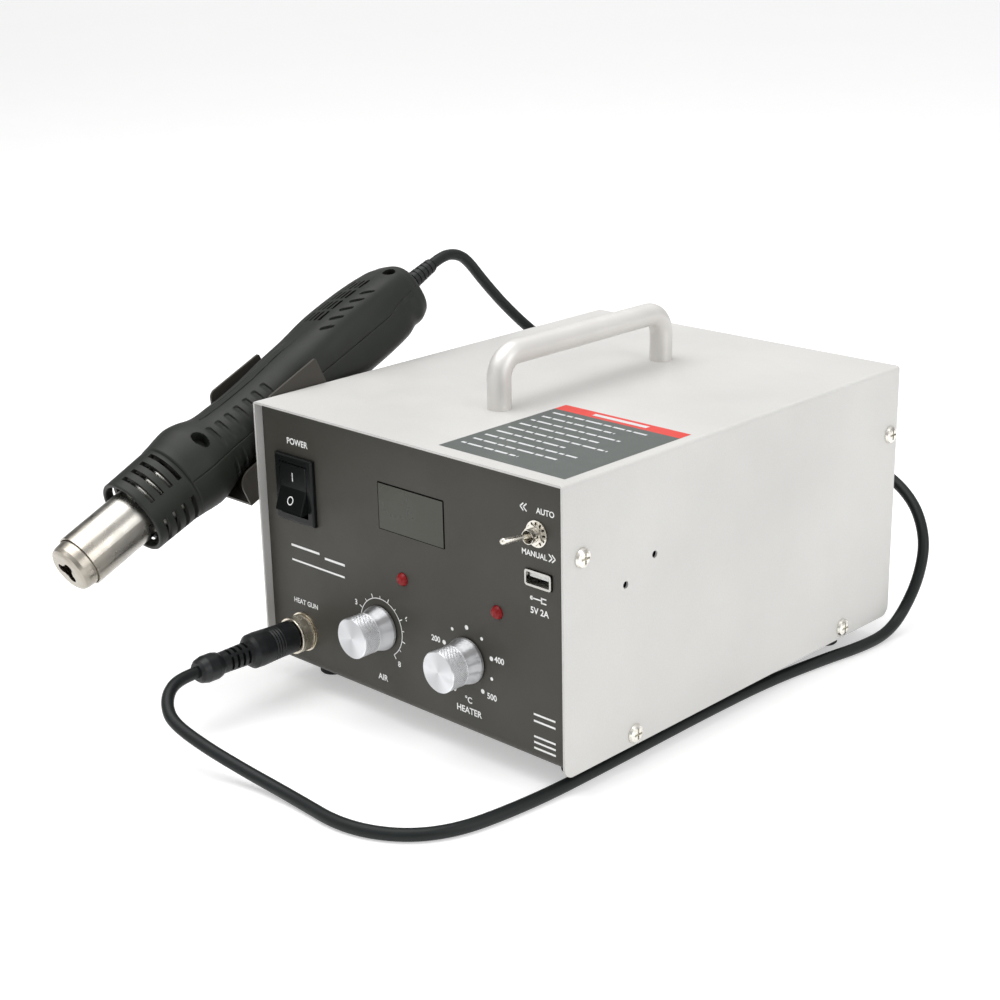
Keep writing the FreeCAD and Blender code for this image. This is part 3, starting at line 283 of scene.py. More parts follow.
def brushed(name, colour, rough, streak, relief=0.15):
    """Metal with fine lines: streak squeezes the noise along the brushing direction."""
    s = Shader(name)
    lines = s.noise(1.0, 6.0, vector=s.stretched(streak), roughness=0.75)
    s.link(s.ramp(lines, [(0.3, tinted(colour, 0.94)), (0.7, tinted(colour, 1.06))]),
           s.principled.inputs["Base Color"])
    s.link(s.spread(lines, rough - 0.05, rough + 0.08), s.principled.inputs["Roughness"])
    s.bump(lines, relief, 0.03 * MM)
    s.set(Metallic=1.0)
    return s.material


NOSE_LO, NOSE_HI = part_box("nozzle_cap")
NOSE_ALONG = Vector(GUN_AXIS).dot((NOSE_LO + NOSE_HI) / 2)
HEAT_TINT = 0.035           # length of the tinted end


def turned_steel(name, colour, rough, straw):
    """Polished tube with turning marks round it and a heat tint towards the nozzle."""
    s = Shader(name)
    axis = s.along(GUN_AXIS)
    rings = s.add("ShaderNodeCombineXYZ")
    s.link(s.math("MULTIPLY", axis, 4000.0), rings.inputs["X"])
    marks = s.noise(1.0, 3.0, vector=rings.outputs["Vector"])
    tint = s.spread(axis, 0.0, 1.0, from_low=NOSE_ALONG, from_high=NOSE_ALONG + HEAT_TINT)
    cloud = s.noise(60.0, 3.0)
    warmth = s.math("ADD", tint, s.math("MULTIPLY", s.math("SUBTRACT", cloud, 0.5), 0.6))
    s.link(s.ramp(warmth, [(0.0, straw), (1.0, colour)]), s.principled.inputs["Base Color"])
    s.link(s.spread(s.noise(150.0, 4.0), rough - 0.05, rough + 0.09), s.principled.inputs["Roughness"])
    s.bump(marks, 0.12, 0.03 * MM)
    s.set(Metallic=1.0)
    return s.material


def moulded(name, colour, rough, grain=2200.0, relief=0.35, gloss=0.35):
    """Matt moulded plastic with spark-erosion grain and slight shine where it is held."""
    s = Shader(name)
    cloud = s.noise(30.0, 4.0)
    s.link(s.ramp(cloud, [(0.3, tinted(colour, 0.88)), (0.7, tinted(colour, 1.12))]),
           s.principled.inputs["Base Color"])
    s.link(s.spread(s.noise(18.0, 3.0), rough - 0.07, rough + 0.06), s.principled.inputs["Roughness"])
    s.bump(s.noise(grain, 2.0), relief, 0.05 * MM)
    s.set(Metallic=0.0, Specular_IOR_Level=gloss)
    return s.material


PAINTED_SHEEN_TURN = 0.9            # turns the two bright sectors of painted highlight on a spun face, in radians


def spun_metal(name, colour, rough):
    """Bright turned aluminium: fine rings about the piece's own Y axis, with a painted highlight of two
    bright sectors in its colour.
    """
    s = Shader(name)
    split = s.add("ShaderNodeSeparateXYZ")
    s.link(s.place, split.inputs["Vector"])
    x, z = split.outputs["X"], split.outputs["Z"]
    radius = s.math("SQRT", s.math("ADD", s.math("MULTIPLY", x, x), s.math("MULTIPLY", z, z)))
    rings = s.add("ShaderNodeCombineXYZ")
    s.link(s.math("MULTIPLY", radius, 9000.0), rings.inputs["X"])
    marks = s.noise(1.0, 4.0, vector=rings.outputs["Vector"], roughness=0.7)
    # painted highlight: two bright sectors round the axis, a bow-tie sheen mixed into the base colour
    twice = s.math("MULTIPLY", s.math("ARCTAN2", z, x), 2.0)
    wave = s.math("COSINE", s.math("ADD", twice, PAINTED_SHEEN_TURN))
    painted_sheen = s.spread(wave, 0.0, 1.0, from_low=-1.0, from_high=1.0)
    rings_and_painted_sheen = s.math("ADD", s.math("MULTIPLY", marks, 0.4), s.math("MULTIPLY", painted_sheen, 0.6))
    s.link(s.ramp(rings_and_painted_sheen, [(0.2, tinted(colour, 0.80)), (0.75, tinted(colour, 1.06))]),
           s.principled.inputs["Base Color"])
    s.link(s.spread(marks, rough - 0.05, rough + 0.1), s.principled.inputs["Roughness"])
    s.bump(marks, 0.2, 0.02 * MM)
    tangent = s.add("ShaderNodeTangent", direction_type="RADIAL", axis="Y")
    s.link(tangent.outputs["Tangent"], s.principled.inputs["Tangent"])
    s.set(Metallic=1.0, Anisotropic=0.9, Anisotropic_Rotation=0.25)
    return s.material


def ink(name, colour, rough=0.5):
    return plain(name, colour, rough, tone=0.05, grain=3000.0, relief=0.1, patch=200.0)


COVER_GREY = (0.590, 0.583, 0.566)
PANEL_TAUPE = (0.0525, 0.050, 0.0415)
CRADLE_TAUPE = (0.054, 0.049, 0.042)
GUN_GREY = (0.0165, 0.0190, 0.0152)
BLACK = (0.012, 0.012, 0.013)
BOARD_GREEN = (0.02, 0.12, 0.05)

MATERIALS = {
    "cover_paint": powder_coat("cover_paint", COVER_GREY, 0.42, 1900.0, 0.30),
    "panel_paint": powder_coat("panel_paint", PANEL_TAUPE, 0.45, 2100.0, 0.35, gloss=0.3),
    "cradle_paint": powder_coat("cradle_paint", CRADLE_TAUPE, 0.45, 2100.0, 0.35, gloss=0.3),
    "screw_steel": bright("screw_steel", (0.82, 0.80, 0.74), 0.28),
    "foot_rubber": moulded("foot_rubber", BLACK, 0.7),
    "handle_metal": plain("handle_metal", (0.74, 0.725, 0.70), 0.46, metal=0.5, tone=0.05, relief=0.2),
    "switch_plastic": moulded("switch_plastic", (0.006, 0.007, 0.007), 0.30, relief=0.06, gloss=0.2),
    "switch_metal": bright("switch_metal", (0.74, 0.71, 0.65), 0.28),
    "switch_phenolic": plain("switch_phenolic", (0.12, 0.05, 0.03), 0.5),
    "smoked_window": plain("smoked_window", (0.051, 0.051, 0.040), 0.3, tone=0.03, relief=0.0, patch=3.0,
                           Specular_IOR_Level=0.35),
    "display_body": plain("display_body", (0.03, 0.03, 0.03), 0.4),
    "circuit_board": plain("circuit_board", BOARD_GREEN, 0.35, tone=0.25, patch=200.0),
    "lamp_red": plain("lamp_red", (0.24, 0.004, 0.006), 0.3, patch=400.0, tone=0.15, relief=0.0,
                      Specular_IOR_Level=0.3),
    "usb_steel": bright("usb_steel", (0.50, 0.49, 0.46), 0.28),
    "usb_plastic": plain("usb_plastic", (0.72, 0.72, 0.70), 0.45),
    "knob_metal": spun_metal("knob_metal", (0.80, 0.81, 0.83), 0.34),
    "shaft_metal": bright("shaft_metal", (0.6, 0.6, 0.6), 0.3),
    "socket_metal": bright("socket_metal", (0.82, 0.76, 0.64), 0.3),
    "plug_rubber": moulded("plug_rubber", (0.009, 0.010, 0.011), 0.44, relief=0.2),
    "magnet_coat": bright("magnet_coat", (0.55, 0.55, 0.56), 0.3),
    "inlet_plastic": moulded("inlet_plastic", (0.018, 0.018, 0.019), 0.4),
    "pin_brass": bright("pin_brass", (0.72, 0.63, 0.42), 0.28),
    "sink_metal": brushed("sink_metal", (0.6, 0.6, 0.62), 0.4, (800, 800, 40)),
    "can_sleeve": plain("can_sleeve", (0.02, 0.03, 0.10), 0.3),
    "fuse_glass": plain("fuse_glass", (0.6, 0.62, 0.6), 0.15),
    "core_steel": brushed("core_steel", (0.26, 0.24, 0.22), 0.5, (60, 2500, 60), relief=0.4),
    "winding_tape": plain("winding_tape", (0.70, 0.58, 0.15), 0.4),
    "gun_plastic": moulded("gun_plastic", GUN_GREY, 0.5, grain=1700.0, relief=0.5, gloss=0.28),
    "tube_steel": turned_steel("tube_steel", (0.46, 0.45, 0.42), 0.27, (0.44, 0.41, 0.36)),
    "cap_steel": turned_steel("cap_steel", (0.42, 0.40, 0.37), 0.30, (0.40, 0.37, 0.32)),
    "mica": plain("mica", (0.62, 0.55, 0.42), 0.3),
    "ceramic": plain("ceramic", (0.8, 0.78, 0.72), 0.8),
    "coil_wire": plain("coil_wire", (0.35, 0.33, 0.32), 0.4, metal=1.0),
    "fan_plastic": moulded("fan_plastic", (0.02, 0.02, 0.02), 0.45),
    "motor_metal": bright("motor_metal", (0.6, 0.6, 0.6), 0.3),
    "cord_rubber": moulded("cord_rubber", (0.010, 0.0125, 0.0125), 0.46, grain=900.0, relief=0.12,
                            gloss=0.25),
}
KNURLED_METAL = plain("knurled_metal", (0.76, 0.77, 0.79), 0.30, metal=1.0, tone=0.05, patch=300.0)
WHITE_INK = ink("white_ink", (0.86, 0.86, 0.85))
LABEL_DARK = ink("label_dark", srgb(84, 90, 87), 0.38)
LABEL_RED = ink("label_red", srgb(214, 58, 48), 0.36)
LABEL_TEXT = ink("label_text", (0.62, 0.63, 0.64), 0.4)
# near-black matt material for painted shade where a gap would fall in shadow
GAP_SHADE_PAINT = plain("painted_gap_shade", (0.003, 0.003, 0.003), 0.9, relief=0.1, Specular_IOR_Level=0.02)


def paint(obj, *materials):
    obj.data.materials.clear()
    for material in materials:
        obj.data.materials.append(material)
    return obj


for row in frame["record"]["subparts"]:
    paint(NODES[row["node"]], MATERIALS[row["material_slot"]])
paint(CORD, MATERIALS["cord_rubber"])
# the gun's screws are near-black: painted shade deep in their sunk holes
paint(NODES["gun_screws"], bright("screw_steel_painted_shade", (0.06, 0.06, 0.06), 0.4))


# ---------------------------------------------------------------- mesh helpers
def piece(name, vertices, faces, slot, smooth_below):
    """Mesh object of one material with outward faces, smooth where they meet at less than an angle."""
    mesh = bpy.data.meshes.new(name)
    mesh.from_pydata([tuple(v) for v in vertices], [], [tuple(f) for f in faces])
    mesh.validate()
    work = bmesh.new()
    work.from_mesh(mesh)
    bmesh.ops.recalc_face_normals(work, faces=work.faces)
    work.to_mesh(mesh)
    work.free()
    mesh.shade_smooth()
    mesh.set_sharp_from_angle(angle=math.radians(smooth_below))
    obj = paint(bpy.data.objects.new(name, mesh), MATERIALS[slot])
    return obj


def place(obj, location, body):
    """Put a piece at a place in case coordinates and fix it to a body."""
    obj.location = at(*location)
    bpy.context.scene.collection.objects.link(obj)
    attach(obj, body)


def lathe(profile, steps, ripple):
    """Closed ring of vertices per (radius, y) point, in mm about Y, with relief from ripple."""
    vertices, faces = [], []
    for i, (r, y) in enumerate(profile):
        for k in range(steps):
            a = 2 * math.pi * k / steps
            radius = r + ripple(i, y, a)
            vertices.append((radius * math.cos(a) * MM, y * MM, radius * math.sin(a) * MM))
    for i in range(len(profile) - 1):
        for k in range(steps):
            n = (k + 1) % steps
            faces.append((i * steps + k, i * steps + n, (i + 1) * steps + n, (i + 1) * steps + k))
    return vertices, faces


def rounded(profile, size, steps=6):
    """Profile whose inner corners are rounded off, starting at most size mm before each."""
    points = [profile[0]]
    for a, b, c in zip(profile, profile[1:], profile[2:]):
        pa, pb, pc = Vector(a), Vector(b), Vector(c)
        u, w = pa - pb, pc - pb
        reach = min(size, u.length * 0.45, w.length * 0.45)
        start, stop = pb + u.normalized() * reach, pb + w.normalized() * reach
        for k in range(steps + 1):
            t = k / steps
            points.append(tuple((1 - t) ** 2 * start + 2 * t * (1 - t) * pb + t * t * stop))
    points.append(profile[-1])
    return points


# ---------------------------------------------------------------- knobs
KNOB_BACK, KNOB_FRONT = -0.6, -17.6
GRIP_R = 9.15
KNURL_TEETH = 64
KNURL_DEPTH = 0.13
KNURL_START, KNURL_STEP, KNURL_ROWS = -9.1, 0.125, 64
KNOB_STEPS = KNURL_TEETH * 8


def make_knob(name, node, x, z, body):
    """Turned knob: flared skirt, waist, diamond-knurled grip and chamfered spun face."""
    skirt = rounded([(7.8, KNOB_BACK), (10.1, KNOB_BACK), (10.15, -1.9), (9.35, -4.6), (8.65, -7.0),
                     (8.35, -8.4)], 0.35)
    knurl = [(GRIP_R, KNURL_START - KNURL_STEP * k) for k in range(KNURL_ROWS)]
    crown = [(GRIP_R, knurl[-1][1] - 0.15), (GRIP_R, KNOB_FRONT + 0.4), (GRIP_R - 0.4, KNOB_FRONT)]
    face = [(r, KNOB_FRONT) for r in (8.0, 6.0, 4.0, 2.0, 0.02)]
    rows = skirt + [(GRIP_R - 0.25, -8.5), (GRIP_R, -8.75)] + knurl + crown + face
    first = len(skirt) + 2

    def ripple(i, y, a):
        if first <= i < first + KNURL_ROWS:
            twist = KNURL_TEETH / GRIP_R * y
            waves = math.cos(KNURL_TEETH * a + twist) + math.cos(KNURL_TEETH * a - twist)
            return KNURL_DEPTH * (waves / 2 - 1)
        return 0.0

    vertices, faces = lathe(rows, KNOB_STEPS, ripple)
    knob = piece(name, vertices, faces, "knob_metal", 28.0)
    knurled = range(first, first + KNURL_ROWS)
    paint(knob, MATERIALS["knob_metal"], KNURLED_METAL)
    for polygon in knob.data.polygons:
        if polygon.index // KNOB_STEPS in knurled:
            polygon.material_index = 1
    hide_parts(node)
    place(knob, (x, PANEL_Y, z), body)


AIR_X, HEAT_X, KNOB_Z = -18.0, 35.5, 45.0
make_knob("air_knob_turned", "air_knob", AIR_X, KNOB_Z, "air_dial")
make_knob("heater_knob_turned", "heater_knob", HEAT_X, KNOB_Z, "heater_dial")


# ---------------------------------------------------------------- plug ring
SOCKET_X, SOCKET_Z = -71.0, 28.4
RING_BACK, RING_FRONT = -1.2, -8.2
RING_BORE, RING_R, RING_KNURL_R = 7.55, 8.55, 8.45
RING_TEETH, RING_TWIST = 56, 6.0        # knurl lines round the ring, and their turn in radians per mm
RING_RELIEF = 0.10


def make_plug_ring():
    """Coupling ring with a fine diamond knurl between two plain rims."""
    knurl = [(RING_KNURL_R, RING_BACK - 1.0 - 0.35 * k) for k in range(12)]
    rows = [(RING_BORE, RING_BACK), (RING_R - 0.15, RING_BACK), (RING_R, RING_BACK - 0.2),
            (RING_R, RING_BACK - 0.8)]
    first = len(rows)
    rows += knurl
    rows += [(RING_R, RING_FRONT + 1.0), (RING_R, RING_FRONT + 0.25), (RING_R - 0.15, RING_FRONT),
             (RING_BORE + 0.05, RING_FRONT), (RING_BORE, RING_FRONT + 0.2), (RING_BORE, RING_BACK)]

    def ripple(i, y, a):
        if first <= i < first + len(knurl):
            turn, twist = RING_TEETH * a, RING_TWIST * y
            return RING_RELIEF * math.cos(turn + twist) * math.cos(turn - twist)
        return 0.0

    vertices, faces = lathe(rows, RING_TEETH * 8, ripple)
    ring = piece("plug_ring_knurled", vertices, faces, "socket_metal", 40.0)
    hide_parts("coupling_ring")
    place(ring, (SOCKET_X, PANEL_Y, SOCKET_Z), "plug_ring")


make_plug_ring()

# ---------------------------------------------------------------- gun housing
# Distances s run along the gun's axis in mm, towards its tail, from the point nearest
# the cover's lower front edge, which is GUN_N away.
GUN_X, GUN_N, FOOT_H, GUN_ROLL = -116.5, 93.7, 10.0, math.radians(-15.5)
GUARD_FRONT, SHOULDER, GUN_TAIL = -17.5, 7.0, 168.5
GUARD_R, GUARD_FLARE, GUARD_BORE = 18.3, 0.6, 16.4
FLARE_FROM, FLARE_LENGTH = -16.5, 22.0
TUBE_HOLE_R = 12.7
COLUMNS = 540
GUARD_STEP, GRIP_STEP = 0.8, 0.45
# s, half width, half height and squareness of the section
SECTIONS = ((7.0, 19.2, 19.2, 2.0), (10.0, 19.5, 19.5, 2.0), (15.0, 20.3, 20.3, 2.0),
            (21.0, 20.8, 20.8, 2.0), (27.0, 20.1, 19.5, 2.05), (33.0, 19.2, 17.3, 2.1),
            (47.0, 18.9, 15.8, 2.25), (66.0, 18.9, 15.7, 2.35), (85.0, 19.4, 16.8, 2.6),
            (100.0, 19.9, 17.1, 2.9), (116.0, 20.5, 18.0, 3.4), (131.0, 20.7, 17.8, 3.7),
            (145.0, 20.4, 17.2, 3.7), (154.0, 19.5, 16.5, 3.5), (162.0, 17.8, 15.2, 3.2),
            (166.5, 15.3, 13.1, 2.8), (168.5, 11.9, 10.3, 2.6))
SLOT_CENTRES = [-12.0 + 5.4 * i for i in range(4)]
SLOT_HALF = 1.1
SLOT_SPANS = [(base + start, base + start + 61.0) for base in (0.0, 180.0) for start in (14.5, 104.5)]
CREST_X = 2.5          # middle of the fan intake's pattern
GROOVE_S, GROOVE_PITCH, GROOVE_HALF = 31.0, 5.85, 1.25
SCOOP_S, SCOOP_PITCH, SCOOP_X, SCOOP_HALF = 110.2, 7.2, 13.3, 1.95
INLAY_X, INLAY_ENDS = 3.1, (34, 96)
INTAKE_S, INTAKE_PITCH, INTAKE_HALF, INTAKE_OFFSETS = 116.0, 9.4, 2.6, (2.0, 6.0)
SCREW_HOLES = ((24.0, 16.0), (157.6, 12.0))     # s and distance from the middle plane


def gun_matrix():
    turn = Matrix.Rotation(TILT, 4, "X") @ Matrix.Rotation(GUN_ROLL, 4, "Y")
    base = at(GUN_X, -GUN_N * math.sin(TILT), FOOT_H + GUN_N * math.cos(TILT))
    return Matrix.Translation(base) @ turn


def through(stations, values, s):
    """Smooth curve through values given at stations (Catmull-Rom), for an array s."""
    x, y = np.array(stations, float), np.array(values, float)
    slope = np.gradient(y, x)
    i = np.clip(np.searchsorted(x, s) - 1, 0, len(x) - 2)
    h = x[i + 1] - x[i]
    t = np.clip((s - x[i]) / h, 0, 1)
    a, b = 2 * t ** 3 - 3 * t ** 2 + 1, t ** 3 - 2 * t ** 2 + t
    c, d = -2 * t ** 3 + 3 * t ** 2, t ** 3 - t ** 2
    return a * y[i] + b * h * slope[i] + c * y[i + 1] + d * h * slope[i + 1]


def edge(distance, width, soft=0.35):
    """1 inside a band of the given half width, falling to 0 over a soft rim."""
    return np.clip((width + soft / 2 - np.abs(distance)) / soft, 0, 1)


def band(value, low, high, soft):
    """1 between two values, fading to 0 over a soft edge outside them."""
    return np.clip((value - low) / soft + 1, 0, 1) * np.clip((high - value) / soft + 1, 0, 1)


def seam_relief(s, z):
    """Parting line, the groove behind the heat guard and the hollow under the tail."""
    seam = 2.4 * np.clip((s - 140) / 10, 0, 1)
    line = 0.4 * edge(z - seam, 0.2)
    collar = 0.8 * edge(s - SHOULDER - 0.5, 0.35, 0.4)
    hollow = np.exp(-((s - 154) / 4.0) ** 2) * np.clip(-(z - seam) / 3, 0, 1)
    return np.maximum(np.maximum(line, collar), hollow)


def finger_grooves(s, side):
    """Seven grooves on each flank, with round upper ends, deeper on the tail's side."""
    depth = np.zeros_like(s)
    for i in range(7):
        centre = GROOVE_S + GROOVE_PITCH * i
        away = np.sqrt((s - centre) ** 2 + (0.32 * np.clip(48 - side, 0, None)) ** 2)
        slant = 0.6 + 0.4 * np.clip((s - centre) / 1.2, -1, 1)
        groove = 1.15 * edge(away, GROOVE_HALF, 0.5) * slant * np.clip((84 - side) / 28, 0, 1)
        depth = np.maximum(depth, groove)
    return depth


def scoops(s, across):
    """Five thumbnail scoops on each side of the fan intake."""
    out = across - SCOOP_X
    length = 2.6 * np.sqrt(np.clip(1 - (out / SCOOP_HALF) ** 2, 0, 1))
    depth = np.zeros_like(s)
    for i in range(5):
        back = SCOOP_S + SCOOP_PITCH * i + 1.3 * out
        ramp = np.clip(1 - (back - s) / np.maximum(length, 0.01), 0, 1)
        scoop = ramp * np.clip((back - s) / 0.3 + 1, 0, 1)
        depth = np.maximum(depth, 1.2 * scoop * (length > 0.3))
    return depth


def inlay_lines(s, across):
    """Two lines along the crest of the grip."""
    return 0.8 * edge(across - INLAY_X, 0.45, 0.35) * band(s, *INLAY_ENDS, 1.0)


def intake_slots(s, across):
    """Four rows of four short slots over the fan."""
    depth = np.zeros_like(s)
    for i in range(4):
        along = np.clip(np.abs(s - (INTAKE_S + INTAKE_PITCH * i)) - INTAKE_HALF, 0, None)
        for offset in INTAKE_OFFSETS:
            away = np.sqrt(along ** 2 + (across - offset) ** 2)
            depth = np.maximum(depth, 3.6 * edge(away, 0.95, 0.2))
    return depth


def screw_holes(s, x):
    """Sunk holes over the shell's screws."""
    depth = np.zeros_like(s)
    for hole_s, hole_x in SCREW_HOLES:
        away = np.sqrt((s - hole_s) ** 2 + (np.abs(x) - hole_x) ** 2)
        depth = np.maximum(depth, 5.5 * edge(away, 2.75, 0.3))
    return depth


def grip_relief(s, phi, radius):
    """Depth in mm of every line, groove, slot and hole in the skin at (s, phi)."""
    x, z = radius * np.cos(phi), radius * np.sin(phi)
    side = 90 - np.degrees(np.arctan2(np.abs(z), np.abs(x)))    # 0 on the crest, 90 at the seam
    across = np.abs(x - CREST_X)
    upper = [scoops(s, across), inlay_lines(s, across), intake_slots(s, across), screw_holes(s, x)]
    around = [seam_relief(s, z), finger_grooves(s, side)]
    return np.maximum.reduce(around + [depth * (z > 0) for depth in upper])


def between(a, b):
    """Faces that join two rings of vertices, whose first indices are a and b."""
    return [(a + k, a + (k + 1) % COLUMNS, b + (k + 1) % COLUMNS, b + k) for k in range(COLUMNS)]


def ring_points(radii, s, phi):
    return [(r * math.cos(q) * MM, s * MM, r * math.sin(q) * MM) for r, q in zip(radii, phi)]


def make_gun_housing():
    """Outer skin from heat guard to tail, its front rim, slots and inner guard wall."""
    slot_edges = [c + side * SLOT_HALF for c in SLOT_CENTRES for side in (-1, 1)]
    guard = sorted(set([GUARD_FRONT + 0.5 + GUARD_STEP * k for k in range(30)] + slot_edges + [SHOULDER]))
    grip = [SHOULDER + 0.35 + GRIP_STEP * k for k in range(358)]
    rows = np.array(guard + grip + [GUN_TAIL])
    phi = np.radians(np.arange(COLUMNS) * 360.0 / COLUMNS)
    S, P = np.meshgrid(rows, phi, indexing="ij")
    stations = [row[0] for row in SECTIONS]
    a, h, p = (through(stations, [row[k] for row in SECTIONS], S) for k in (1, 2, 3))
    R = (np.abs(np.cos(P) / a) ** p + np.abs(np.sin(P) / h) ** p) ** (-1 / p)
    guard_r = GUARD_R + GUARD_FLARE * np.clip((S - FLARE_FROM) / FLARE_LENGTH, 0, 1)
    R = np.where(S < SHOULDER, guard_r, R)
    R = R - grip_relief(S, P, R) * (S > SHOULDER)

    def points(radius, s):
        return np.stack([radius * np.cos(P), s, radius * np.sin(P)], -1).reshape(-1, 3)

    outer = points(R, S)
    count = len(guard)
    inner = points(np.full_like(R, GUARD_BORE), S)[:count * COLUMNS]
    degrees = np.degrees(phi) + 180.0 / COLUMNS

    def is_slot(i, k):
        middle = (rows[i] + rows[i + 1]) / 2
        in_ring = any(abs(middle - c) < SLOT_HALF for c in SLOT_CENTRES)
        return in_ring and any(lo < degrees[k] < hi for lo, hi in SLOT_SPANS)

    open_cell = np.zeros((len(rows), COLUMNS), bool)
    for i in range(count - 1):
        for k in range(COLUMNS):
            open_cell[i, k] = is_slot(i, k)
    base = len(rows) * COLUMNS
    faces = []
    for i in range(len(rows) - 1):
        for k in range(COLUMNS):
            n = (k + 1) % COLUMNS
            corners = (i * COLUMNS + k, i * COLUMNS + n, (i + 1) * COLUMNS + n, (i + 1) * COLUMNS + k)
            if not open_cell[i, k]:
                faces.append(corners)
                if i < count - 1:
                    faces.append(tuple(base + c for c in reversed(corners)))
                continue
            neighbours = (((i - 1, k), (0, 1)), ((i, n), (1, 2)), ((i + 1, k), (2, 3)),
                          ((i, (k - 1) % COLUMNS), (3, 0)))
            for (ni, nk), (p0, p1) in neighbours:
                if not open_cell[ni, nk]:
                    faces.append((corners[p0], corners[p1], base + corners[p1], base + corners[p0]))
    vertices = [tuple(v * MM) for v in outer] + [tuple(v * MM) for v in inner]
    rim = [(GUARD_R - 0.25, GUARD_FRONT + 0.15), (GUARD_R - 0.7, GUARD_FRONT),
           (GUARD_BORE + 0.6, GUARD_FRONT), (GUARD_BORE + 0.2, GUARD_FRONT + 0.15)]
    previous = 0
    for r, s in rim:
        start = len(vertices)
        vertices += ring_points([r] * COLUMNS, s, phi)
        faces += between(previous, start)
        previous = start
    faces += between(previous, base)
    previous = (len(rows) - 1) * COLUMNS
    for shrink in (0.8, 0.45):
        start = len(vertices)
        vertices += ring_points(R[-1] * shrink, GUN_TAIL, phi)
        faces += between(previous, start)
        previous = start
    start = len(vertices)
    vertices += ring_points([TUBE_HOLE_R] * COLUMNS, SHOULDER, phi)
    faces += between(base + (count - 1) * COLUMNS, start)
    housing = piece("gun_housing", vertices, faces, "gun_plastic", 50.0)
    housing.data.transform(gun_matrix())
    bpy.context.scene.collection.objects.link(housing)
    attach(housing, "hot_air_gun")
    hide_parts("gun_shell_upper", "gun_shell_lower")


make_gun_housing()

# ---------------------------------------------------------------- silk-screen
INK_Y = PANEL_Y - 0.06
STROKE = 0.4


def panel_print(name, polygons, material):
    """Thin print on the front panel: polygons in (x, z) mm."""
    vertices, faces = [], []
    for polygon in polygons:
        start = len(vertices)
        vertices += [(x * MM, 0.0, z * MM) for x, z in polygon]
        faces.append(tuple(range(start, start + len(polygon))))
    mesh = bpy.data.meshes.new(name)
    mesh.from_pydata(vertices, [], faces)
    place(paint(bpy.data.objects.new(name, mesh), material), (0, INK_Y, 0), "station")


def bar(x0, z0, x1, z1, width=STROKE):
    along = Vector((x1 - x0, z1 - z0)).normalized()
    side = Vector((-along.y, along.x)) * width / 2
    a, b = Vector((x0, z0)), Vector((x1, z1))
    return [tuple(a + side), tuple(a - side), tuple(b - side), tuple(b + side)]


def disc(x, z, r, steps=20):
    return [(x + r * math.cos(2 * math.pi * k / steps), z + r * math.sin(2 * math.pi * k / steps))
            for k in range(steps)]


def arc_band(x, z, r, a0, a1, width=STROKE, steps=60):
    quads = []
    for k in range(steps):
        t0, t1 = (math.radians(a0 + (a1 - a0) * (k + j) / steps) for j in (0, 1))
        quads.append([(x + q * math.cos(t), z + q * math.sin(t))
                      for q, t in ((r - width / 2, t0), (r + width / 2, t0), (r + width / 2, t1),
                                   (r - width / 2, t1))])
    return quads


def letters(name, texts, material):
    """Plain function words and numbers as one flat mesh, from (text, x, z, height) rows."""
    work = bmesh.new()
    for text, x, z, height in texts:
        data = bpy.data.curves.new(name, "FONT")
        data.body = text
        data.align_x, data.align_y = "CENTER", "CENTER"
        data.size = height * MM * 1.5
        data.offset = height * MM * 0.035
        obj = bpy.data.objects.new(name, data)
        obj.matrix_world = Matrix.Translation(at(x, INK_Y, z)) @ Matrix.Rotation(math.pi / 2, 4, "X")
        bpy.context.scene.collection.objects.link(obj)
        bpy.context.view_layer.update()
        mesh = bpy.data.meshes.new_from_object(obj.evaluated_get(bpy.context.evaluated_depsgraph_get()))
        mesh.transform(obj.matrix_world)
        bpy.data.objects.remove(obj)
        work.from_mesh(mesh)
    mesh = bpy.data.meshes.new(name)
    work.to_mesh(mesh)
    work.free()
    obj = paint(bpy.data.objects.new(name, mesh), material)
    bpy.context.scene.collection.objects.link(obj)
    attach(obj, "station")


DIAL_LOW, DIAL_STEP = 236.0, -41.6       # angle of mark 1 on the air dial and per unit
TEMP_LOW, TEMP_STEP = 237.0, -36.5       # angle of 100 on the heater dial and per 50
SCALE_R, DOTS_R = 13.3, 14.6             # radius of the air scale's arc and of the heater's dots


def on_circle(x, z, r, degrees):
    a = math.radians(degrees)
    return x + r * math.cos(a), z + r * math.sin(a)


def air_dial():
    marks = arc_band(AIR_X, KNOB_Z, SCALE_R, DIAL_LOW, DIAL_LOW + 7 * DIAL_STEP)
    for half in range(15):
        angle = DIAL_LOW + half * DIAL_STEP / 2
        reach, width = (15.4, 0.5) if half % 2 == 0 else (14.7, STROKE)
        foot, tip = (on_circle(AIR_X, KNOB_Z, r, angle) for r in (SCALE_R - 0.1, reach))
        marks.append(bar(*foot, *tip, width))
    return marks


def heater_dial():
    return [disc(*on_circle(HEAT_X, KNOB_Z, DOTS_R, TEMP_LOW + i * TEMP_STEP), 1.05 if i % 2 == 0 else 0.8)
            for i in range(9)]


def chevrons(x, z, way):
    strokes = []
    for shift in (0.0, 1.7):
        tip, back = x + shift - 0.9 * way, x + shift + 0.9 * way
        strokes += [bar(back, z + 1.6, tip, z, 0.6), bar(tip, z, back, z - 1.6, 0.6)]
    return strokes


def plug_sign(x, z):
    """Plain pictogram of a small plug, above the outlet's rating."""
    return [bar(x - 4.2, z, x + 1.2, z, 0.6), bar(x + 1.2, z - 1.4, x + 1.2, z + 1.4, 0.7),
            bar(x + 1.2, z + 1.0, x + 3.8, z + 1.0, 0.6), bar(x + 1.2, z - 1.0, x + 3.8, z - 1.0, 0.6),
            disc(x - 4.2, z, 0.9)]


# ends, height and thickness of the three upper bars, then the corner bars' ends and heights
UPPER_BARS = ((-77.0, -57.5, 69.5, 1.1), (-54.0, -40.5, 68.2, 1.1), (-77.0, -41.0, 62.4, 0.9))
CORNER_X, CORNER_Z = (73.0, 85.0), (32.0, 29.0, 22.0, 19.4, 16.8)


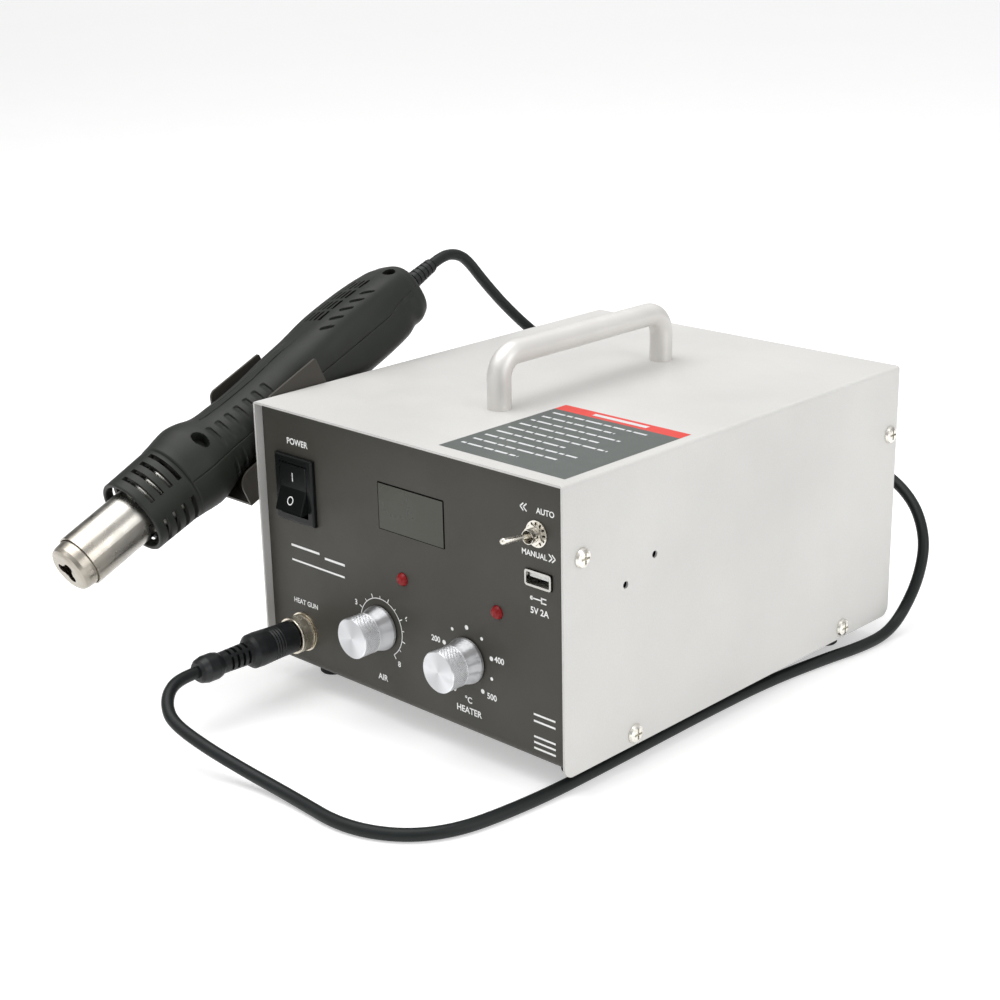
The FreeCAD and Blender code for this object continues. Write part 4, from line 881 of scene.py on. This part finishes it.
def blank_marks():
    """Plain bars where the front panel carries its maker's lines and its approval marks."""
    upper = [bar(x0, z, x1, z, width) for x0, x1, z, width in UPPER_BARS]
    return upper + [bar(CORNER_X[0], z, CORNER_X[1], z, 0.9) for z in CORNER_Z]


WINDOW_X, WINDOW_Z, WINDOW_W, WINDOW_H = 3.4, 102.0, 40.0, 21.0


def window_gap_shade():
    """Painted shade: dark strips round the display window in place of its shaded gap, wider along its top and
    right edges.
    """
    x0, x1 = WINDOW_X - WINDOW_W / 2, WINDOW_X + WINDOW_W / 2
    z0, z1 = WINDOW_Z - WINDOW_H / 2, WINDOW_Z + WINDOW_H / 2
    return [bar(x0, z1, x1, z1, 0.7), bar(x1, z1, x1, z0, 0.8),
            bar(x1, z0, x0, z0, 0.25), bar(x0, z0, x0, z1, 0.25)]


ARROWS = chevrons(68.2, 120.5, 1) + chevrons(83.3, 102.2, -1)
panel_print("panel_marks", air_dial() + heater_dial() + ARROWS + plug_sign(77.0, 82.9) + blank_marks(),
            WHITE_INK)
# painted shade of the gap round the display window
panel_print("window_gap_shade", window_gap_shade(), GAP_SHADE_PAINT)
# text, x and z of its middle, and height of the capitals
WORDS = [("POWER", -69.0, 119.1, 2.7), ("HEAT GUN", -69.0, 42.6, 2.25), ("AIR", -18.2, 20.9, 2.65),
         ("°C", 35.3, 26.4, 2.6), ("HEATER", 35.4, 21.4, 2.75), ("AUTO", 80.8, 120.4, 2.3),
         ("MANUAL", 74.6, 101.7, 2.25), ("5V 2A", 77.0, 77.6, 2.6),
         ("1", -28.0, 30.2, 2.3), ("3", -34.0, 52.6, 2.4), ("6", -1.7, 52.9, 2.4), ("8", -7.2, 30.3, 2.4),
         ("100", 25.4, 29.4, 2.4), ("200", 16.4, 49.2, 2.4), ("400", 53.9, 49.8, 2.5),
         ("500", 49.2, 31.9, 2.5)]
letters("panel_words", WORDS, WHITE_INK)

# ---------------------------------------------------------------- rocker marks
ROCKER_X, ROCKER_Z, ROCKER_TILT = -70.5, 97.5, math.radians(-10.0)
ROCKER_PIVOT_Y = PANEL_Y + 2.0
ROCKER_FACE, ROCKER_END, ROCKER_HALF = PANEL_Y - 2.6, 1.9, 10.9


def rocker_marks():
    """The on and off signs, printed on the paddle's two slopes."""
    polygons = [bar(0, 3.2, 0, 7.2, 0.55)] + arc_band(0, -5.6, 1.75, 0, 360, 0.5, 28)
    vertices, faces = [], []
    turn = Matrix.Rotation(ROCKER_TILT, 4, "X")
    for polygon in polygons:
        start = len(vertices)
        for x, z in polygon:
            y = ROCKER_FACE - ROCKER_END * abs(z) / ROCKER_HALF - 0.03
            v = turn @ Vector((x, y - ROCKER_PIVOT_Y, z))
            vertices.append(tuple(v * MM))
        faces.append(tuple(range(start, start + len(polygon))))
    mesh = bpy.data.meshes.new("rocker_signs")
    mesh.from_pydata(vertices, [], faces)
    obj = paint(bpy.data.objects.new("rocker_signs", mesh), WHITE_INK)
    place(obj, (ROCKER_X, ROCKER_PIVOT_Y, ROCKER_Z), "rocker_paddle")


rocker_marks()

# ---------------------------------------------------------------- label on the cover
LABEL_X, LABEL_Y, BAND_Y = (18.4, 88.2), (7.3, 85.5), 78.0
LABEL_RISE, TEXT_RISE = 0.05, 0.09
HEADLINE = (38, 68, 80.4, 83.1)
LINE_X, LINE_LENGTH, FIRST_LINE_Y, PITCH = LABEL_X[0] + 4, 64, BAND_Y - 6.0, 7.0
LINE_SHARES = (0.82, 0.64, 0.78, 0.70, 0.86, 0.60, 0.80, 0.74, 0.50)
WORD_LENGTHS, WORD_GAP, WORD_HEIGHT = (7.0, 3.2, 5.4, 9.0, 4.1, 6.3, 2.6, 8.2, 5.0), 1.1, 1.5


def lying(name, rects, height, material):
    """Flat printed rectangles on the cover's top, in (x0, x1, y0, y1) mm."""
    vertices, faces = [], []
    for x0, x1, y0, y1 in rects:
        start = len(vertices)
        vertices += [(x * MM, y * MM, 0.0) for x, y in ((x0, y0), (x1, y0), (x1, y1), (x0, y1))]
        faces.append(tuple(range(start, start + 4)))
    mesh = bpy.data.meshes.new(name)
    mesh.from_pydata(vertices, [], faces)
    obj = paint(bpy.data.objects.new(name, mesh), material)
    place(obj, (0, 0, COVER_TOP + height), "station")


def label_words():
    """Rows of plain dashes, as long as words, that stand in for the label's small print."""
    rects = []
    count = 0
    for row, share in enumerate(LINE_SHARES):
        y = FIRST_LINE_Y - PITCH * row
        x, end = LINE_X, LINE_X + LINE_LENGTH * share
        while x < end:
            length = WORD_LENGTHS[count % len(WORD_LENGTHS)]
            rects.append((x, min(x + length, end), y, y + WORD_HEIGHT))
            x += length + WORD_GAP
            count += 1
    return rects


lying("label_field", [(*LABEL_X, LABEL_Y[0], BAND_Y)], LABEL_RISE, LABEL_DARK)
lying("label_band", [(*LABEL_X, BAND_Y, LABEL_Y[1])], LABEL_RISE, LABEL_RED)
lying("label_lines", label_words() + [HEADLINE], TEXT_RISE, LABEL_TEXT)

# ---------------------------------------------------------------- floor and light
FLOOR_HALF = 30.0       # in metres
FLOOR_WHITE, FLOOR_GLOW = (0.74, 0.74, 0.74), 0.42
DOME_STRENGTH = 0.70
DOME_STOPS = ((0.0, 0.60), (0.12, 0.46), (0.32, 0.75), (0.8, 1.15))     # height in the dome, brightness
# direction of each dark card, and the cosines at which it is full and gone
DARK_CARDS = (((0.9, -0.75, 0.12), 0.985, 0.95), ((-0.55, -1.0, 0.25), 0.985, 0.95),
              ((-1.0, 0.3, 0.45), 0.985, 0.95))
CARD_SHADE = 0.08
# place and target, side of the square lamp and watts
LAMPS = {"key": ((-0.3, -0.2, 1.5), (0, 0, 0.05), 1.4, 18.5),
         "side": ((1.7, 0.2, 0.8), (0, 0, 0.08), 1.1, 9),
         "front": ((-0.4, -1.7, 0.6), (0, 0, 0.08), 0.7, 1.5)}


def make_floor():
    mesh = bpy.data.meshes.new("floor")
    corners = [(x * FLOOR_HALF, y * FLOOR_HALF, 0) for x, y in ((-1, -1), (1, -1), (1, 1), (-1, 1))]
    mesh.from_pydata(corners, [], [(0, 1, 2, 3)])
    floor = bpy.data.objects.new("floor", mesh)
    bpy.context.scene.collection.objects.link(floor)
    paint(floor, plain("floor_white", FLOOR_WHITE, 0.5, tone=0.01, relief=0.02, patch=2.0,
                       Emission_Color=(1, 1, 1, 1), Emission_Strength=FLOOR_GLOW))


def area_light(name, location, target, size, power):
    data = bpy.data.lights.new(name, "AREA")
    data.shape, data.size, data.energy = "SQUARE", size, power
    light = bpy.data.objects.new(name, data)
    light.location = location
    light.rotation_euler = (Vector(target) - Vector(location)).to_track_quat("-Z", "Y").to_euler()
    bpy.context.scene.collection.objects.link(light)


def make_world():
    """White studio dome, dimmer near the horizon, with dark cards that give metal its contrast."""
    world = bpy.data.worlds.new("studio")
    bpy.context.scene.world = world
    world.use_nodes = True
    tree = world.node_tree
    ray = tree.nodes.new("ShaderNodeTexCoord").outputs["Generated"]
    split = tree.nodes.new("ShaderNodeSeparateXYZ")
    tree.links.new(ray, split.inputs["Vector"])
    ramp = tree.nodes.new("ShaderNodeValToRGB")
    ramp.color_ramp.interpolation = "EASE"
    while len(ramp.color_ramp.elements) < len(DOME_STOPS):
        ramp.color_ramp.elements.new(0.5)
    for element, (position, value) in zip(ramp.color_ramp.elements, DOME_STOPS):
        element.position = position
        element.color = (value, value, value, 1)
    tree.links.new(split.outputs["Z"], ramp.inputs["Fac"])
    shade = ramp.outputs["Color"]
    for direction, inner, outer in DARK_CARDS:
        facing = tree.nodes.new("ShaderNodeVectorMath")
        facing.operation = "DOT_PRODUCT"
        facing.inputs[1].default_value = Vector(direction).normalized()
        tree.links.new(ray, facing.inputs[0])
        fade = tree.nodes.new("ShaderNodeMapRange")
        numbers = {"From Min": outer, "From Max": inner, "To Min": 1.0, "To Max": CARD_SHADE}
        for key, number in numbers.items():
            fade.inputs[key].default_value = number
        tree.links.new(facing.outputs["Value"], fade.inputs["Value"])
        scaled = tree.nodes.new("ShaderNodeVectorMath")
        scaled.operation = "SCALE"
        tree.links.new(shade, scaled.inputs[0])
        tree.links.new(fade.outputs["Result"], scaled.inputs["Scale"])
        shade = scaled.outputs["Vector"]
    tree.links.new(shade, tree.nodes["Background"].inputs["Color"])
    tree.nodes["Background"].inputs["Strength"].default_value = DOME_STRENGTH


make_floor()
make_world()
for lamp, settings in LAMPS.items():
    area_light(lamp, *settings)
bpy.context.scene.view_settings.view_transform = "Standard"

bpy.context.view_layer.update()
